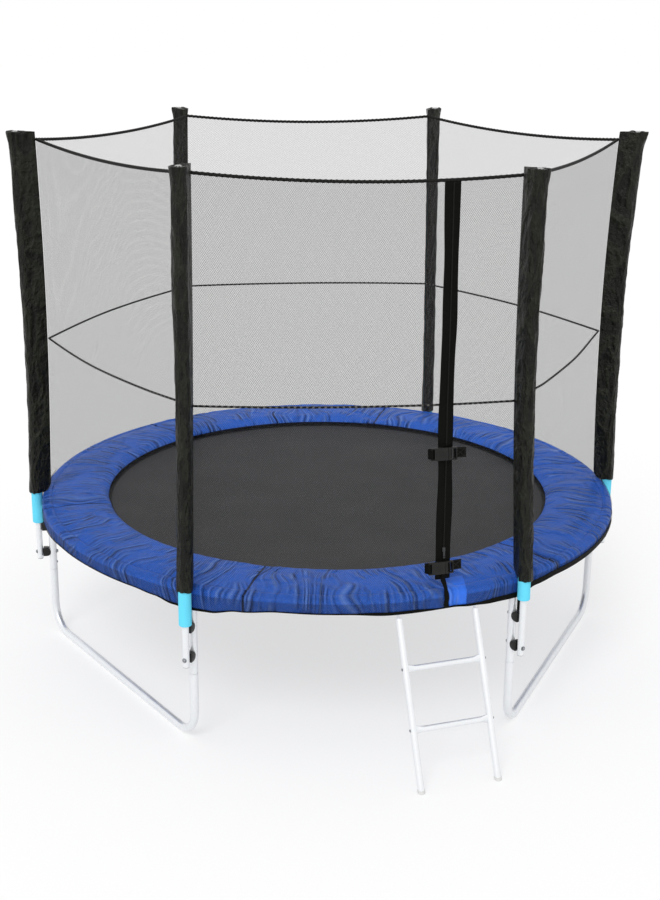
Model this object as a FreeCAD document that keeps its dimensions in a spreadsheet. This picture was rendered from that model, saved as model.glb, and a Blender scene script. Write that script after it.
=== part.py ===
import FreeCAD, Part
import math
import os
import Sketcher
from FreeCAD import Matrix, Placement, Rotation, Vector

# Round garden trampoline with an outside safety net.
# Origin: middle of the trampoline on the ground. +Z up, +X towards one net pole, door side at -Y.
# Each post station k stands at 60 degrees times (k - 1) from +X.

doc = FreeCAD.newDocument("trampoline")
sheet = doc.addObject("Spreadsheet::Sheet", "Sizes")

SIZES = (
    ("frame_radius", 1200, "centre line of the frame ring"),
    ("frame_height", 615, "centre line of the frame ring above the ground"),
    ("ring_dia", 34, "tube of the frame ring"),
    ("leg_dia", 32, "tube of the legs"),
    ("tube_wall", 1.6, "wall of the ring and leg tubes"),
    ("slip_gap", 0.3, "radial gap where one piece slips into or over another"),
    ("butt_gap", 0.6, "gap where two tube ends meet"),
    ("neck_length", 60, "reduced tube end that enters the next tube"),
    ("leg_joint", 288, "height where the leg stub of the ring and the leg base meet"),
    ("bend_radius", 110, "bend of the leg base at the ground"),
    ("pole_dia", 25.4, "net pole tube"),
    ("pole_reach", 26.5, "distance from leg tube to net pole"),
    ("pole_tail", 33, "net pole below its lower spacer"),
    ("pole_over", 16, "net pole above the top edge of the net"),
    ("pole_cap", 12, "height of the cap on the net pole"),
    ("foam_dia", 48, "foam tube round the net pole"),
    ("foam_under", 108, "lower end of a foam tube below the frame ring"),
    ("foam_short", 74, "pole left bare above a foam tube"),
    ("foam_slip", 60, "how far the foam at the door side has been pushed up"),
    ("sleeve_rise", 33, "lower end of the fabric sleeve above the frame ring"),
    ("sleeve_over", 34, "upper end of the fabric sleeve above the top edge of the net"),
    ("sleeve_cloth", 2, "fabric of the sleeve over the foam"),
    ("flange_top", 78, "flat part of the sleeve towards the net, at the top"),
    ("flange_low", 61, "flat part of the sleeve towards the net, at the waist"),
    ("flange_thick", 5, "thickness of the flat edge of the sleeve"),
    ("spacer_low", 247, "lower pole spacer below the frame ring"),
    ("spacer_high", 128, "upper pole spacer below the frame ring"),
    ("spacer_height", 37, "pole spacer, up and down"),
    ("spacer_width", 29, "pole spacer, side to side"),
    ("spacer_hug", 10, "how far the spacer reaches round each tube"),
    ("mat_inset", 195, "between the frame ring and the edge of the mat, for rings and springs"),
    ("mat_rise", 5, "middle plane of the mat, springs and rings above the frame ring"),
    ("mat_cloth", 1.6, "woven mat"),
    ("mat_hem", 44, "width of the webbing hem of the mat"),
    ("mat_hem_ply", 2, "one layer of the hem"),
    ("ring_wire", 4, "wire of a mat ring"),
    ("ring_length", 44, "mat ring, in the direction of pull"),
    ("ring_width", 34, "mat ring at its base"),
    ("spring_dia", 20, "body of a spring"),
    ("spring_wire", 3, "wire of a spring"),
    ("spring_body", 104, "length of the coiled body of a spring"),
    ("hook_drop", 9, "how far a spring hook reaches down behind the bar it holds"),
    ("pad_cover", 60, "how far the pad covers the mat"),
    ("pad_lift", 5.5, "gap between the frame tube and the pad, where the ladder hooks lie"),
    ("pad_edge", 11, "thickness of the pad at its edges"),
    ("pad_crown", 9, "rise of the pad in its middle"),
    ("pad_round", 20, "rounding of the pad over the frame"),
    ("pad_seam_width", 14, "valley at a seam between two pad panels"),
    ("pad_seam_depth", 4, "valley at a seam between two pad panels"),
    ("pad_seam_turn", 10, "angle of the first seam, in degrees"),
    ("pad_stitch", 40, "sewn line round the pad, inside its outer edge"),
    ("pad_stitch_width", 8, "valley along the sewn line"),
    ("pad_stitch_depth", 2, "valley along the sewn line"),
    ("skirt_gap", 8.5, "gap between the frame tube and the skirt of the pad"),
    ("skirt_cloth", 2.5, "hanging skirt of the pad"),
    ("skirt_drop", 37, "lower edge of the skirt and of the net below the frame ring"),
    ("net_height", 1515, "top edge of the net at the poles above the frame ring"),
    ("cord_height", 706, "middle cord above the frame ring"),
    ("waist_height", 75, "where the net leaves the sleeves to spread over the pad, above the frame ring"),
    ("knee_height", 30, "where the net turns down beside the skirt, above the frame ring"),
    ("net_sag", 27, "sag of the top edge between two poles"),
    ("net_bow", 45, "outward bow of the net at the middle cord"),
    ("net_cloth", 1, "net"),
    ("net_gap", 0.5, "gap between the net and what lies against it"),
    ("top_cord_dia", 7, "cord along the top edge"),
    ("mid_cord_dia", 4, "cord half way up"),
    ("hem_height", 20, "webbing hem at the foot of the net"),
    ("hem_cloth", 1.2, "webbing hem at the foot of the net"),
    ("strap_width", 15, "tie straps at the net foot"),
    ("strap_length", 67.5, "tie straps below the hem"),
    ("door_top_x", 338, "middle of the door zip at the top edge"),
    ("door_low_x", 306, "middle of the door zip at the waist"),
    ("door_width", 50, "zip tape of the door"),
    ("door_cloth", 2, "zip tape of the door"),
    ("slider_rise", 100, "resting place of the zip slider above the waist"),
    ("slider_travel", 300, "how far the zip slider runs up before it meets the upper buckle"),
    ("slider_height", 16, "body of the zip slider"),
    ("slider_width", 11, "body of the zip slider"),
    ("pull_length", 24, "pull tab of the zip slider"),
    ("buckle_high", 458, "upper buckle above the waist of the net"),
    ("buckle_low", 45, "lower buckle above the waist of the net"),
    ("buckle_height", 46, "buckle, up and down"),
    ("buckle_thick", 15, "buckle, through"),
    ("buckle_wall", 2.6, "wall of the buckle socket"),
    ("socket_part", 62, "length of the buckle socket"),
    ("insert_part", 34, "visible length of the buckle insert"),
    ("webbing_reach", 44, "webbing sewn to the net beside a buckle"),
    ("webbing_cloth", 1.4, "webbing of the buckles"),
    ("ladder_width", 300, "between the middles of the ladder rails"),
    ("ladder_turn", -2, "turn of the ladder from facing its stretch of the ring, in degrees"),
    ("ladder_reach", 279, "ladder feet outside the frame ring"),
    ("ladder_stand", 18, "upper rail ends outside the frame ring"),
    ("ladder_drop", 48, "upper rail ends below the frame ring"),
    ("ladder_dia", 25.4, "rail tube of the ladder"),
    ("rung_dia", 22, "rung tube of the ladder"),
    ("rung_low", 202, "height of the lower rung"),
    ("rung_high", 400, "height of the upper rung"),
    ("rung_flare", 36, "spread ends of a rung, up and down"),
    ("rung_spread", 34, "length of the spread end of a rung"),
    ("hook_strip", 2, "thickness of the ladder hook"),
    ("hook_width", 10, "width of the ladder hook"),
    ("hook_gap", 1.8, "gap between the ladder hook and the frame tube"),
    ("foot_sole", 8, "rubber foot below a ladder rail"),
)

# Stations round the ring, and counts that repeat in the sixth that belongs to each.
# Round pieces are drawn with flat sides, so that forty tubes and rings keep few faces: a tube's sides
# lie within half a millimetre of the true circle and enclose the same area.
STATIONS = 6
STEP = 360 / STATIONS
SPRINGS_PER_RAIL = 6
RAIL_STRETCHES = 6
CLOTH_STRETCHES = 8
ELBOW_STRETCHES = 4
TUBE_SIDES = 12
SLEEVE_SIDES = 12
SPRING_SIDES = 6
CORD_SIDES = 6
DOOR_POLE_INDEX = 5
LADDER_STRETCH_COUNT = 28.5
SEAT_SAMPLES = 12

# How far a cutting body reaches past the piece that it cuts, and the area below which a field is left out.
CUT_OVER = 1.0
NO_AREA = 1e-6


def number(value):
    if isinstance(value, Dim):
        return value.value
    return float(value)


class Dim:
    """A size that carries its number and the sheet expression that gives it."""

    def __init__(self, value, text):
        self.value = value
        self.text = text

    def joined(self, sign, other, value):
        right = other.text if isinstance(other, Dim) else repr(float(other))
        return Dim(value, f"({self.text} {sign} {right})")

    def __add__(self, other):
        return self.joined("+", other, self.value + number(other))

    def __sub__(self, other):
        return self.joined("-", other, self.value - number(other))

    def __mul__(self, other):
        return self.joined("*", other, self.value * number(other))

    def __truediv__(self, other):
        return self.joined("/", other, self.value / number(other))

    def __neg__(self):
        return Dim(-self.value, f"(0 - {self.text})")

    def __float__(self):
        return float(self.value)


def fill_sheet():
    sizes = {}
    for row, (alias, value, note) in enumerate(SIZES, start=1):
        sheet.set(f"A{row}", alias)
        sheet.set(f"B{row}", str(value))
        sheet.set(f"C{row}", note)
        sheet.setAlias(f"B{row}", alias)
    doc.recompute()
    for alias, _, _ in SIZES:
        sizes[alias] = Dim(float(getattr(sheet, alias)), f"Sizes.{alias}")
    return sizes


S = fill_sheet()


def bind(item, name, dim):
    """Ties a property to the sheet, or sets it when it is a plain number."""
    if isinstance(dim, Dim):
        item.setExpression(name, dim.text)
    else:
        setattr(item, name, dim)


# Sizes worked out from the sheet

ring_r = S["ring_dia"] / 2
leg_r = S["leg_dia"] / 2
bore_r = leg_r - S["tube_wall"]
neck_r = bore_r - S["slip_gap"]
ring_bore_r = ring_r - S["tube_wall"]
ring_neck_r = ring_bore_r - S["slip_gap"]
ring_over = S["frame_height"] + ring_r
pole_r = S["pole_dia"] / 2
pole_radius = S["frame_radius"] + leg_r + S["pole_reach"] + pole_r
foam_r = S["foam_dia"] / 2
skirt_bottom = S["frame_height"] - S["skirt_drop"]
net_knee = S["frame_height"] + S["knee_height"]
net_waist = S["frame_height"] + S["waist_height"]
net_mid = S["frame_height"] + S["cord_height"]
net_top = S["frame_height"] + S["net_height"]
spacer_low = S["frame_height"] - S["spacer_low"]
spacer_high = S["frame_height"] - S["spacer_high"]
pole_bottom = spacer_low - S["pole_tail"]
pole_top = net_top + S["pole_over"]
foam_bottom = S["frame_height"] - S["foam_under"]
foam_length = pole_top - S["foam_short"] - foam_bottom
sleeve_bottom = S["frame_height"] + S["sleeve_rise"]
sleeve_top = net_top + S["sleeve_over"]
mat_radius = S["frame_radius"] - S["mat_inset"]
mat_height = S["frame_height"] + S["mat_rise"]
pad_inner = mat_radius - S["pad_cover"]
pad_under = ring_over + S["pad_lift"]
skirt_in = S["frame_radius"] + ring_r + S["skirt_gap"]
skirt_out = skirt_in + S["skirt_cloth"]
net_foot = skirt_out + S["net_gap"] + S["net_cloth"]
net_top_corner = pole_radius - S["flange_top"] - S["net_gap"]
net_waist_corner = pole_radius - S["flange_low"] - S["net_gap"]
SIDE_REACH = math.sqrt(2 * math.pi / TUBE_SIDES / math.sin(2 * math.pi / TUBE_SIDES))
UP = Vector(0, 0, 1)
rail_flat = math.cos(math.radians(STEP / RAIL_STRETCHES / 2))
side_flat = math.cos(math.radians(STEP / 2))
slot_radius = S["frame_radius"] * rail_flat - ring_r * 0.5
ring_nose = mat_radius + S["ring_length"] - S["mat_hem"] * 0.25
ladder_foot = S["frame_radius"] + S["ladder_reach"]
ladder_head = S["frame_radius"] + S["ladder_stand"]
ladder_top = S["frame_height"] - S["ladder_drop"]
buckle_low = net_waist + S["buckle_low"]
buckle_high = net_waist + S["buckle_high"]


# Tools for building

def label(item, name):
    item.Label = name
    return item


def plane_of(body, role):
    for feature in body.Origin.OriginFeatures:
        if feature.Role == role:
            return feature
    raise ValueError(role)


def new_sketch(body, role, name):
    sketch = body.newObject("Sketcher::SketchObject", name)
    sketch.AttachmentSupport = [(plane_of(body, role), "")]
    sketch.MapMode = "FlatFace"
    return sketch


def pin_point(sketch, edge, end, axis, dim):
    """Fixes one coordinate of a sketch point, on the axis itself when it is zero."""
    if isinstance(dim, Dim):
        index = sketch.addConstraint(Sketcher.Constraint(f"Distance{axis}", -1, 1, edge, end, number(dim)))
        sketch.setExpression(f"Constraints[{index}]", dim.text)
    elif dim == 0:
        sketch.addConstraint(Sketcher.Constraint("PointOnObject", edge, end, -2 if axis == "X" else -1))
    else:
        sketch.addConstraint(Sketcher.Constraint(f"Distance{axis}", -1, 1, edge, end, float(dim)))


def outline(sketch, corners):
    """A closed outline of straight lines through the corners, each corner tied to the sheet."""
    points = [Vector(number(x), number(y), 0) for x, y in corners]
    edges = []
    for start, end in zip(points, points[1:] + points[:1]):
        edges.append(sketch.addGeometry(Part.LineSegment(start, end), False))
    for edge, following in zip(edges, edges[1:] + edges[:1]):
        sketch.addConstraint(Sketcher.Constraint("Coincident", edge, 2, following, 1))
    for edge, (x, y) in zip(edges, corners):
        pin_point(sketch, edge, 1, "X", x)
        pin_point(sketch, edge, 1, "Y", y)


def round_outline(sketch, radius, x):
    """The flat-sided outline of a round tube, with its middle on the horizontal axis of the sketch."""
    corners = []
    for i in range(TUBE_SIDES):
        turn = 2 * math.pi * (i + 0.5) / TUBE_SIDES
        corners.append((x + radius * (SIDE_REACH * math.cos(turn)), radius * (SIDE_REACH * math.sin(turn))))
    outline(sketch, corners)


def pad_sketch(body, sketch, length):
    """Thickens a sketch evenly to both sides."""
    feature = body.newObject("PartDesign::Pad", "Pad")
    feature.Profile = sketch
    bind(feature, "Length", length)
    feature.Midplane = True
    return feature


def pocket_through(body, sketch):
    """Cuts right through the piece, both ways from the plane of the sketch."""
    feature = body.newObject("PartDesign::Pocket", "Pocket")
    feature.Profile = sketch
    feature.Type = 1
    feature.Midplane = True
    return feature


def computed(name, shape):
    feature = doc.addObject("Part::Feature", name)
    feature.Shape = shape
    return label(feature, name)


def copies(name, master, places):
    """One piece repeated as separate solids in one group."""
    doc.recompute()
    solids = []
    for place in places:
        shape = master.Shape.copy()
        shape.Placement = place.multiply(shape.Placement)
        solids.append(shape)
    return computed(name, Part.makeCompound(solids))


def station_angle(k):
    return STEP * (k - 1)


def turned(angle):
    return Placement(Vector(0, 0, 0), Rotation(Vector(0, 0, 1), angle))


def at_stations(radius, height=0.0):
    places = []
    for k in range(1, STATIONS + 1):
        base = polar(radius, station_angle(k), height)
        places.append(Placement(base, Rotation(Vector(0, 0, 1), station_angle(k))))
    return places


def polar(radius, angle, z=0.0):
    turn = math.radians(angle)
    return Vector(float(radius) * math.cos(turn), float(radius) * math.sin(turn), float(z))


def face_of(points):
    return Part.Face(Part.makePolygon(list(points) + [points[0]]))


def block(x, y, z):
    """A box from three pairs of limits."""
    return Part.makeBox(x[1] - x[0], y[1] - y[0], z[1] - z[0], Vector(x[0], y[0], z[0]))


def fields(first, second, closed=True):
    """Three-cornered fields between two lines of points, split the same way seen from either side."""
    found = []
    for i in range(len(first) if closed else len(first) - 1):
        j = (i + 1) % len(first)
        near, next_near, next_far, far = first[i], first[j], second[j], second[i]
        if near.z <= far.z:
            found += [(near, next_near, next_far), (near, next_far, far)]
        else:
            found += [(near, next_near, far), (next_near, next_far, far)]
    return found


def quads(first, second, closed=True):
    """Flat faces on the fields between two lines of points."""
    faces = []
    for corners in fields(first, second, closed):
        if (corners[1] - corners[0]).cross(corners[2] - corners[0]).Length > NO_AREA:
            faces.append(face_of(corners))
    return faces


def solid_of(faces):
    """A solid inside a closed set of faces."""
    shell = Part.Shell(faces)
    if Part.Solid(shell).Volume < 0:
        shell = Part.Shell([face.reversed() for face in faces])
    return Part.Solid(shell)


def skin(loops, hollow):
    """A solid bounded by flat faces between loops: a ring when hollow, else closed by two lids."""
    faces = []
    for first, second in zip(loops, loops[1:]):
        faces += quads(first, second)
    if hollow:
        faces += quads(loops[-1], loops[0])
    else:
        faces += [face_of(loops[0]), face_of(loops[-1])]
    return solid_of(faces)


def strip(lines):
    """A solid between open lines, each joined to the next and the last to the first, with flat ends."""
    faces = []
    for first, second in zip(lines, lines[1:] + lines[:1]):
        faces += quads(first, second, False)
    for end in (0, -1):
        faces.append(face_of([line[end] for line in lines]))
    return solid_of(faces)


def round_angles():
    """Corner angles of the round cloth pieces; one lies at each pole."""
    count = STATIONS * CLOTH_STRETCHES
    return [360 * i / count for i in range(count)]


def level_ring(profile):
    """A ring of straight stretches with the given profile of radius and height pairs."""
    return [[polar(r, angle, z) for angle in round_angles()] for r, z in profile]


def across(centre, along, steady, radius, sides=TUBE_SIDES):
    """Corners of a round section across a path; the steady axis keeps the sections of a path in step."""
    third = along.cross(steady)
    points = []
    for i in range(sides):
        turn = 2 * math.pi * (i + 0.5) / sides
        outwards = steady * math.cos(turn) + third * math.sin(turn)
        points.append(centre + outwards * (float(radius) * SIDE_REACH))
    return points


def stretched_tube(path, steady, radius):
    """Straight stretches of round tube through pairs of centre and direction."""
    return skin([across(centre, along, steady, radius) for centre, along in path], False)


def peg(radius, length, base, along, steady):
    """A straight round bar."""
    return stretched_tube([(base, along), (base + along * float(length), along)], steady, radius)


# Frame ring

def tangent(angle):
    return polar(1, angle + 90)


def spring_angles():
    step = STEP / SPRINGS_PER_RAIL
    return [step * (i + 0.5) - STEP / 2 for i in range(SPRINGS_PER_RAIL)]


def frame_rail_shape():
    """A sixth of the ring: bored at one end, necked at the other, with a leg stub welded below."""
    radius, z = float(S["frame_radius"]), float(S["frame_height"])
    gap = math.degrees(float(S["butt_gap"]) / radius)
    turn = STEP / RAIL_STRETCHES
    angles = [turn * i - STEP / 2 for i in range(RAIL_STRETCHES + 1)]
    angles[0] += gap / 2
    angles[-1] -= gap / 2
    tube = stretched_tube([(polar(radius, a, z), tangent(a)) for a in angles], UP, ring_r)
    neck = float(S["neck_length"])
    over = 2 * CUT_OVER
    neck_way = tangent(STEP / 2 + turn / 2)
    spigot = peg(ring_neck_r, neck + over, polar(radius, angles[-1], z) - neck_way * over, neck_way, UP)
    bore_way = tangent(turn / 2 - STEP / 2)
    bore = peg(ring_bore_r, neck + 2 * over, polar(radius, angles[0], z) - bore_way * over, bore_way, UP)
    low = float(S["leg_joint"])
    outwards = Vector(1, 0, 0)
    stub = peg(leg_r, z - low, Vector(radius, 0, low), UP, outwards)
    leg_bore = peg(bore_r, neck + 2 * over, Vector(radius, 0, low - over), UP, outwards)
    slots = []
    width = float(S["spring_wire"]) + 2 * CUT_OVER
    for angle in spring_angles():
        slot = face_of(slot_corners()).extrude(Vector(0, width, 0))
        slot.translate(Vector(0, -width / 2, 0))
        slot.rotate(Vector(0, 0, 0), UP, angle)
        slots.append(slot)
    return tube.multiFuse([spigot, stub]).cut(Part.makeCompound([bore, leg_bore] + slots))


def slot_corners():
    """Outline of a spring slot: shallow at the inner side of the tube, deep where the hook turns down."""
    wire, middle = float(S["spring_wire"]), float(slot_radius)
    inside, wall, outside = middle - float(S["ring_dia"]), middle - wire * 0.8, middle + wire
    top = float(ring_over) + wire
    shelf = hook_rest() - CUT_OVER / 2
    deep = hook_rest() - float(S["hook_drop"]) - CUT_OVER
    points = ((inside, shelf), (wall, shelf), (wall, deep), (outside, deep), (outside, top), (inside, top))
    return [Vector(r, 0, z) for r, z in points]


def hook_rest():
    """Height of the underside of a spring hook."""
    return float(mat_height) + float(S["ring_wire"]) / 2 + float(S["slip_gap"])


def frame_rails():
    shape = frame_rail_shape()
    rails = []
    for k in range(1, STATIONS + 1):
        rail = shape.copy()
        rail.Placement = turned(station_angle(k))
        rails.append(computed(f"frame_rail_{k}", rail))
    return rails


def leg_base_shape():
    """A U of tube that lies on the ground, with a reduced neck on each upright."""
    half = float(S["frame_radius"]) * math.sin(math.radians(STEP / 2))
    bend, low, top = float(S["bend_radius"]), float(leg_r), float(S["leg_joint"]) - float(S["butt_gap"])
    path = [(Vector(-half, 0, top), Vector(0, 0, -1))]
    for side in (-1, 1):
        centre = Vector(side * (half - bend), 0, low + bend)
        steps = range(ELBOW_STRETCHES + 1)
        for step in steps if side < 0 else reversed(steps):
            turn = math.radians(90 * step / ELBOW_STRETCHES)
            away = Vector(side * math.cos(turn), 0, -math.sin(turn))
            along = Vector(math.sin(turn), 0, side * math.cos(turn))
            path.append((centre + away * bend, along))
    path.append((Vector(half, 0, top), Vector(0, 0, 1)))
    tube = stretched_tube(path, Vector(0, 1, 0), leg_r)
    neck = float(S["neck_length"]) + CUT_OVER
    sideways = Vector(1, 0, 0)
    necks = [peg(neck_r, neck, Vector(side * half, 0, top - CUT_OVER), UP, sideways) for side in (-1, 1)]
    return tube.multiFuse(necks)


def leg_bases():
    """Three bases, each joining the stubs of two neighbouring rails; none stands below the door."""
    shape = leg_base_shape()
    aside = Placement(Vector(0, -float(S["frame_radius"]) * side_flat, 0), Rotation())
    bases = []
    for k in range(1, STATIONS // 2 + 1):
        base = shape.copy()
        base.Placement = turned(90 + STEP * (2 * k - 0.5)).multiply(aside)
        bases.append(computed(f"leg_base_{k}", base))
    return bases


# Net poles

def net_poles():
    """Closed by a plug below and a cap on top."""
    low, high, cap = float(pole_bottom), float(pole_top), float(S["pole_cap"])
    radius = float(pole_r)
    chamfer = radius * 0.25
    sections = ((radius - chamfer, low), (radius, low + chamfer), (radius, high), (radius * 0.6, high + cap))
    outwards = Vector(1, 0, 0)
    shape = skin([across(Vector(float(pole_radius), 0, z), UP, outwards, r) for r, z in sections], False)
    poles = []
    for k in range(1, STATIONS + 1):
        pole = shape.copy()
        pole.Placement = turned(station_angle(k))
        poles.append(computed(f"net_pole_{k}", pole))
    return poles


def prism(name, radius, height):
    """A straight round bar that stays tied to the sheet."""
    piece = doc.addObject("Part::Prism", name)
    piece.Polygon = TUBE_SIDES
    bind(piece, "Circumradius", radius * SIDE_REACH)
    bind(piece, "Height", height)
    piece.Placement = turned(180 / TUBE_SIDES)
    return piece


def pole_foams():
    """Foam tubes; the one beside the door has been pushed up the pole."""
    foam = doc.addObject("Part::Cut", "foam")
    foam.Base = prism("foam_outside", foam_r, foam_length)
    foam.Tool = prism("foam_bore", pole_r + S["slip_gap"], foam_length)
    places = at_stations(pole_radius, foam_bottom)
    places[DOOR_POLE_INDEX].Base.z += float(S["foam_slip"])
    return copies("pole_foams", foam, places)


def flange_at(height):
    """Reach of the sleeve's flat edge at a height."""
    low, high = float(net_waist), float(net_top)
    share = (height - low) / (high - low)
    return float(S["flange_low"]) + share * (float(S["flange_top"]) - float(S["flange_low"]))


def sleeve_loop(height):
    """Round the foam, with a flat edge that points at the middle of the trampoline."""
    radius = float(foam_r + S["slip_gap"] + S["sleeve_cloth"]) / math.cos(math.pi / SLEEVE_SIDES)
    half = float(S["flange_thick"]) / 2
    tip = -flange_at(height)
    points = [Vector(tip, half, height)]
    for i in range(SLEEVE_SIDES // 4, -SLEEVE_SIDES // 4 - 1, -1):
        points.append(polar(radius, 360 * i / SLEEVE_SIDES, height))
    points.append(Vector(tip, -half, height))
    return points


def net_clearance():
    """Everything inside the spreading foot of the net, with a gap."""
    gap = float(S["net_gap"])
    foot = float(net_foot) + gap
    waist = float(net_waist_corner) + gap
    profile = ((foot, float(skirt_bottom)), (foot, float(net_knee)), (waist, float(net_waist)))
    return skin(level_ring(profile), False)


def pole_sleeves():
    low, high = float(sleeve_bottom), float(sleeve_top)
    sleeve = skin([sleeve_loop(low), sleeve_loop(high)], False)
    start = Vector(0, 0, low - CUT_OVER)
    sleeve = sleeve.cut(peg(foam_r + S["slip_gap"], high - low + 2 * CUT_OVER, start, UP, Vector(1, 0, 0)))
    sleeve.translate(Vector(float(pole_radius), 0, 0))
    sleeve = sleeve.cut(net_clearance())
    sleeves = []
    for k in range(1, STATIONS + 1):
        piece = sleeve.copy()
        piece.Placement = turned(station_angle(k))
        sleeves.append(computed(f"pole_sleeve_{k}", piece))
    return sleeves


def pole_spacers():
    """Plastic saddles between leg and pole, domed towards the leg."""
    body = doc.addObject("PartDesign::Body", "pole_spacer")
    sketch = new_sketch(body, "XZ_Plane", "Side")
    half = S["spacer_height"] / 2
    back = pole_radius - pole_r + S["spacer_hug"] * 0.5
    nose = S["frame_radius"] + leg_r - S["spacer_hug"]
    flat = half * 0.4
    dome = nose + half
    outline(sketch, ((back, -half), (back, half), (dome, half), (nose, flat), (nose, -flat), (dome, -half)))
    pad_sketch(body, sketch, S["spacer_width"])
    saddles = new_sketch(body, "XY_Plane", "Saddles")
    round_outline(saddles, leg_r + S["slip_gap"], S["frame_radius"])
    round_outline(saddles, pole_r + S["slip_gap"], pole_radius)
    pocket_through(body, saddles)
    places = at_stations(0, spacer_low) + at_stations(0, spacer_high)
    return copies("pole_spacers", body, places)


# Mat, rings and springs

def jumping_mat():
    """Woven disc with a folded webbing hem, open at its edge where the rings are held."""
    z, half = float(mat_height), float(S["mat_cloth"]) / 2
    slot = float(S["ring_wire"]) / 2 + float(S["slip_gap"])
    rim = slot + float(S["mat_hem_ply"])
    edge = float(mat_radius)
    hem = edge - float(S["mat_hem"])
    deep = edge - float(S["mat_hem"]) / 2
    lower = ((hem, z - half), (hem + rim, z - rim), (edge, z - rim), (edge, z - slot), (deep, z - slot))
    upper = [(r, 2 * z - height) for r, height in reversed(lower)]
    return computed("jumping_mat", skin(level_ring(list(lower) + upper), False))


def spring_places():
    places = []
    for k in range(1, STATIONS + 1):
        for angle in spring_angles():
            turn = Rotation(Vector(0, 0, 1), station_angle(k) + angle)
            places.append(Placement(Vector(0, 0, float(mat_height)), turn))
    return places


def mat_rings():
    """Flat wire loops, their wide side held in the hem and their nose taking the spring."""
    body = doc.addObject("PartDesign::Body", "mat_ring")
    sketch = new_sketch(body, "XY_Plane", "Loop")
    wire = S["ring_wire"]
    base = ring_nose - S["ring_length"]
    wide = S["ring_width"] / 2
    narrow = S["spring_wire"] * 2 + wire
    outline(sketch, ((base, -wide), (ring_nose, -narrow), (ring_nose, narrow), (base, wide)))
    outline(sketch, (
        (base + wire, -wide + wire * 1.3), (ring_nose - wire, -narrow + wire * 0.9),
        (ring_nose - wire, narrow - wire * 0.9), (base + wire, wide - wire * 1.3),
    ))
    pad_sketch(body, sketch, wire)
    return copies("mat_rings", body, spring_places())


def hook(root, tip, side):
    """Flat-bent wire that leaves the coil above the ring and turns down behind the bar it holds."""
    wire = float(S["spring_wire"])
    low = hook_rest() - float(mat_height)
    drop = float(S["hook_drop"])
    points = ((root, low), (tip - side * wire, low), (tip - side * wire, low - drop), (tip, low - drop),
              (tip, low + wire), (root, low + wire))
    return face_of([Vector(x, -wire / 2, z) for x, z in points]).extrude(Vector(0, wire, 0))


def springs():
    """Stretched between ring and frame: a coiled body with a hook at each end."""
    slot = float(slot_radius) + float(S["spring_wire"]) / 2
    hold = float(ring_nose) - float(S["ring_wire"]) - float(S["spring_wire"]) * 1.3
    low = (slot + hold - float(S["spring_body"])) / 2
    high = low + float(S["spring_body"])
    radius = float(S["spring_dia"]) / 2
    sections = [across(Vector(x, 0, 0), Vector(1, 0, 0), UP, radius, SPRING_SIDES) for x in (low, high)]
    shape = skin(sections, False).multiFuse([hook(high - CUT_OVER, slot, 1), hook(low + CUT_OVER, hold, -1)])
    return copies("springs", computed("spring", shape), spring_places())


# Pad

def pad_profile(drop):
    """Crowned pad that rounds over the frame tube and hangs down as a skirt; drop lowers it at a seam."""
    inner, under = float(pad_inner), float(pad_under)
    hang, face, bottom = float(skirt_in), float(skirt_out), float(skirt_bottom)
    edge, crown, bend = (float(S[name]) for name in ("pad_edge", "pad_crown", "pad_round"))
    top = under + edge - drop
    middle = (inner + face - bend) / 2
    slope = math.radians(45)
    stitch, valley = face - float(S["pad_stitch"]), float(S["pad_stitch_width"]) / 2
    shoulder, rim = (middle + face - bend) / 2, face - bend

    def slack(r):
        return top + crown * 0.75 * (rim - r) / (rim - shoulder)

    return (
        (inner + edge / 3, under), (inner, under + edge / 3), (inner + edge / 3, top),
        ((inner + middle) / 2, top + crown * 0.75), (middle, top + crown), (shoulder, slack(shoulder)),
        (stitch - valley, slack(stitch - valley)), (stitch, slack(stitch) - float(S["pad_stitch_depth"])),
        (stitch + valley, slack(stitch + valley)), (rim, top),
        (face - bend * (1 - math.sin(slope)), top - bend * (1 - math.cos(slope))),
        (face, top - bend + drop), (face, bottom), (hang, bottom), (hang, under),
    )


def safety_pad():
    """Six padded panels sewn into one ring, with a valley at each seam."""
    half = math.degrees(float(S["pad_seam_width"]) / 2 / float(pad_inner))
    stations = [(angle, 0.0) for angle in round_angles()]
    for k in range(STATIONS):
        seam = float(S["pad_seam_turn"]) + STEP * k
        stations += [(seam - half, 0.0), (seam, float(S["pad_seam_depth"])), (seam + half, 0.0)]
    stations.sort()
    profiles = [(angle, pad_profile(drop)) for angle, drop in stations]
    step = math.radians(STEP / CLOTH_STRETCHES)
    loops = []
    for i in range(len(profiles[0][1])):
        loop = []
        for angle, profile in profiles:
            radius, z = profile[i]
            loop.append(polar(radius * chord_share(angle, step), angle, z))
        loops.append(loop)
    return computed("safety_pad", skin(loops, True))


def chord_share(angle, step):
    """Distance of the straight stretch from the middle at an angle, as a share of its corner radius."""
    inside = math.radians(angle) % step
    return math.cos(step / 2) / math.cos(inside - step / 2)


# Net

def net_level(radius, z, bow=None, sag=0.0):
    """One closed line round the net: straight or bowed between the poles, or round when no bow is given."""
    points = []
    for k in range(STATIONS):
        for i in range(CLOTH_STRETCHES):
            share = i / CLOTH_STRETCHES
            angle = STEP * (k + share)
            arch = 4 * share * (1 - share)
            if bow is None:
                points.append(polar(radius, angle, z))
            else:
                start, end = polar(radius, STEP * k, z), polar(radius, STEP * (k + 1), z)
                point = start + (end - start) * share + polar(bow * arch, STEP * (k + 0.5))
                points.append(point - Vector(0, 0, sag * arch))
    return points


def mid_corner():
    """Corner radius of the net at the middle cord."""
    share = (float(net_mid) - float(net_waist)) / (float(net_top) - float(net_waist))
    return float(net_waist_corner) + share * (float(net_top_corner) - float(net_waist_corner))


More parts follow.
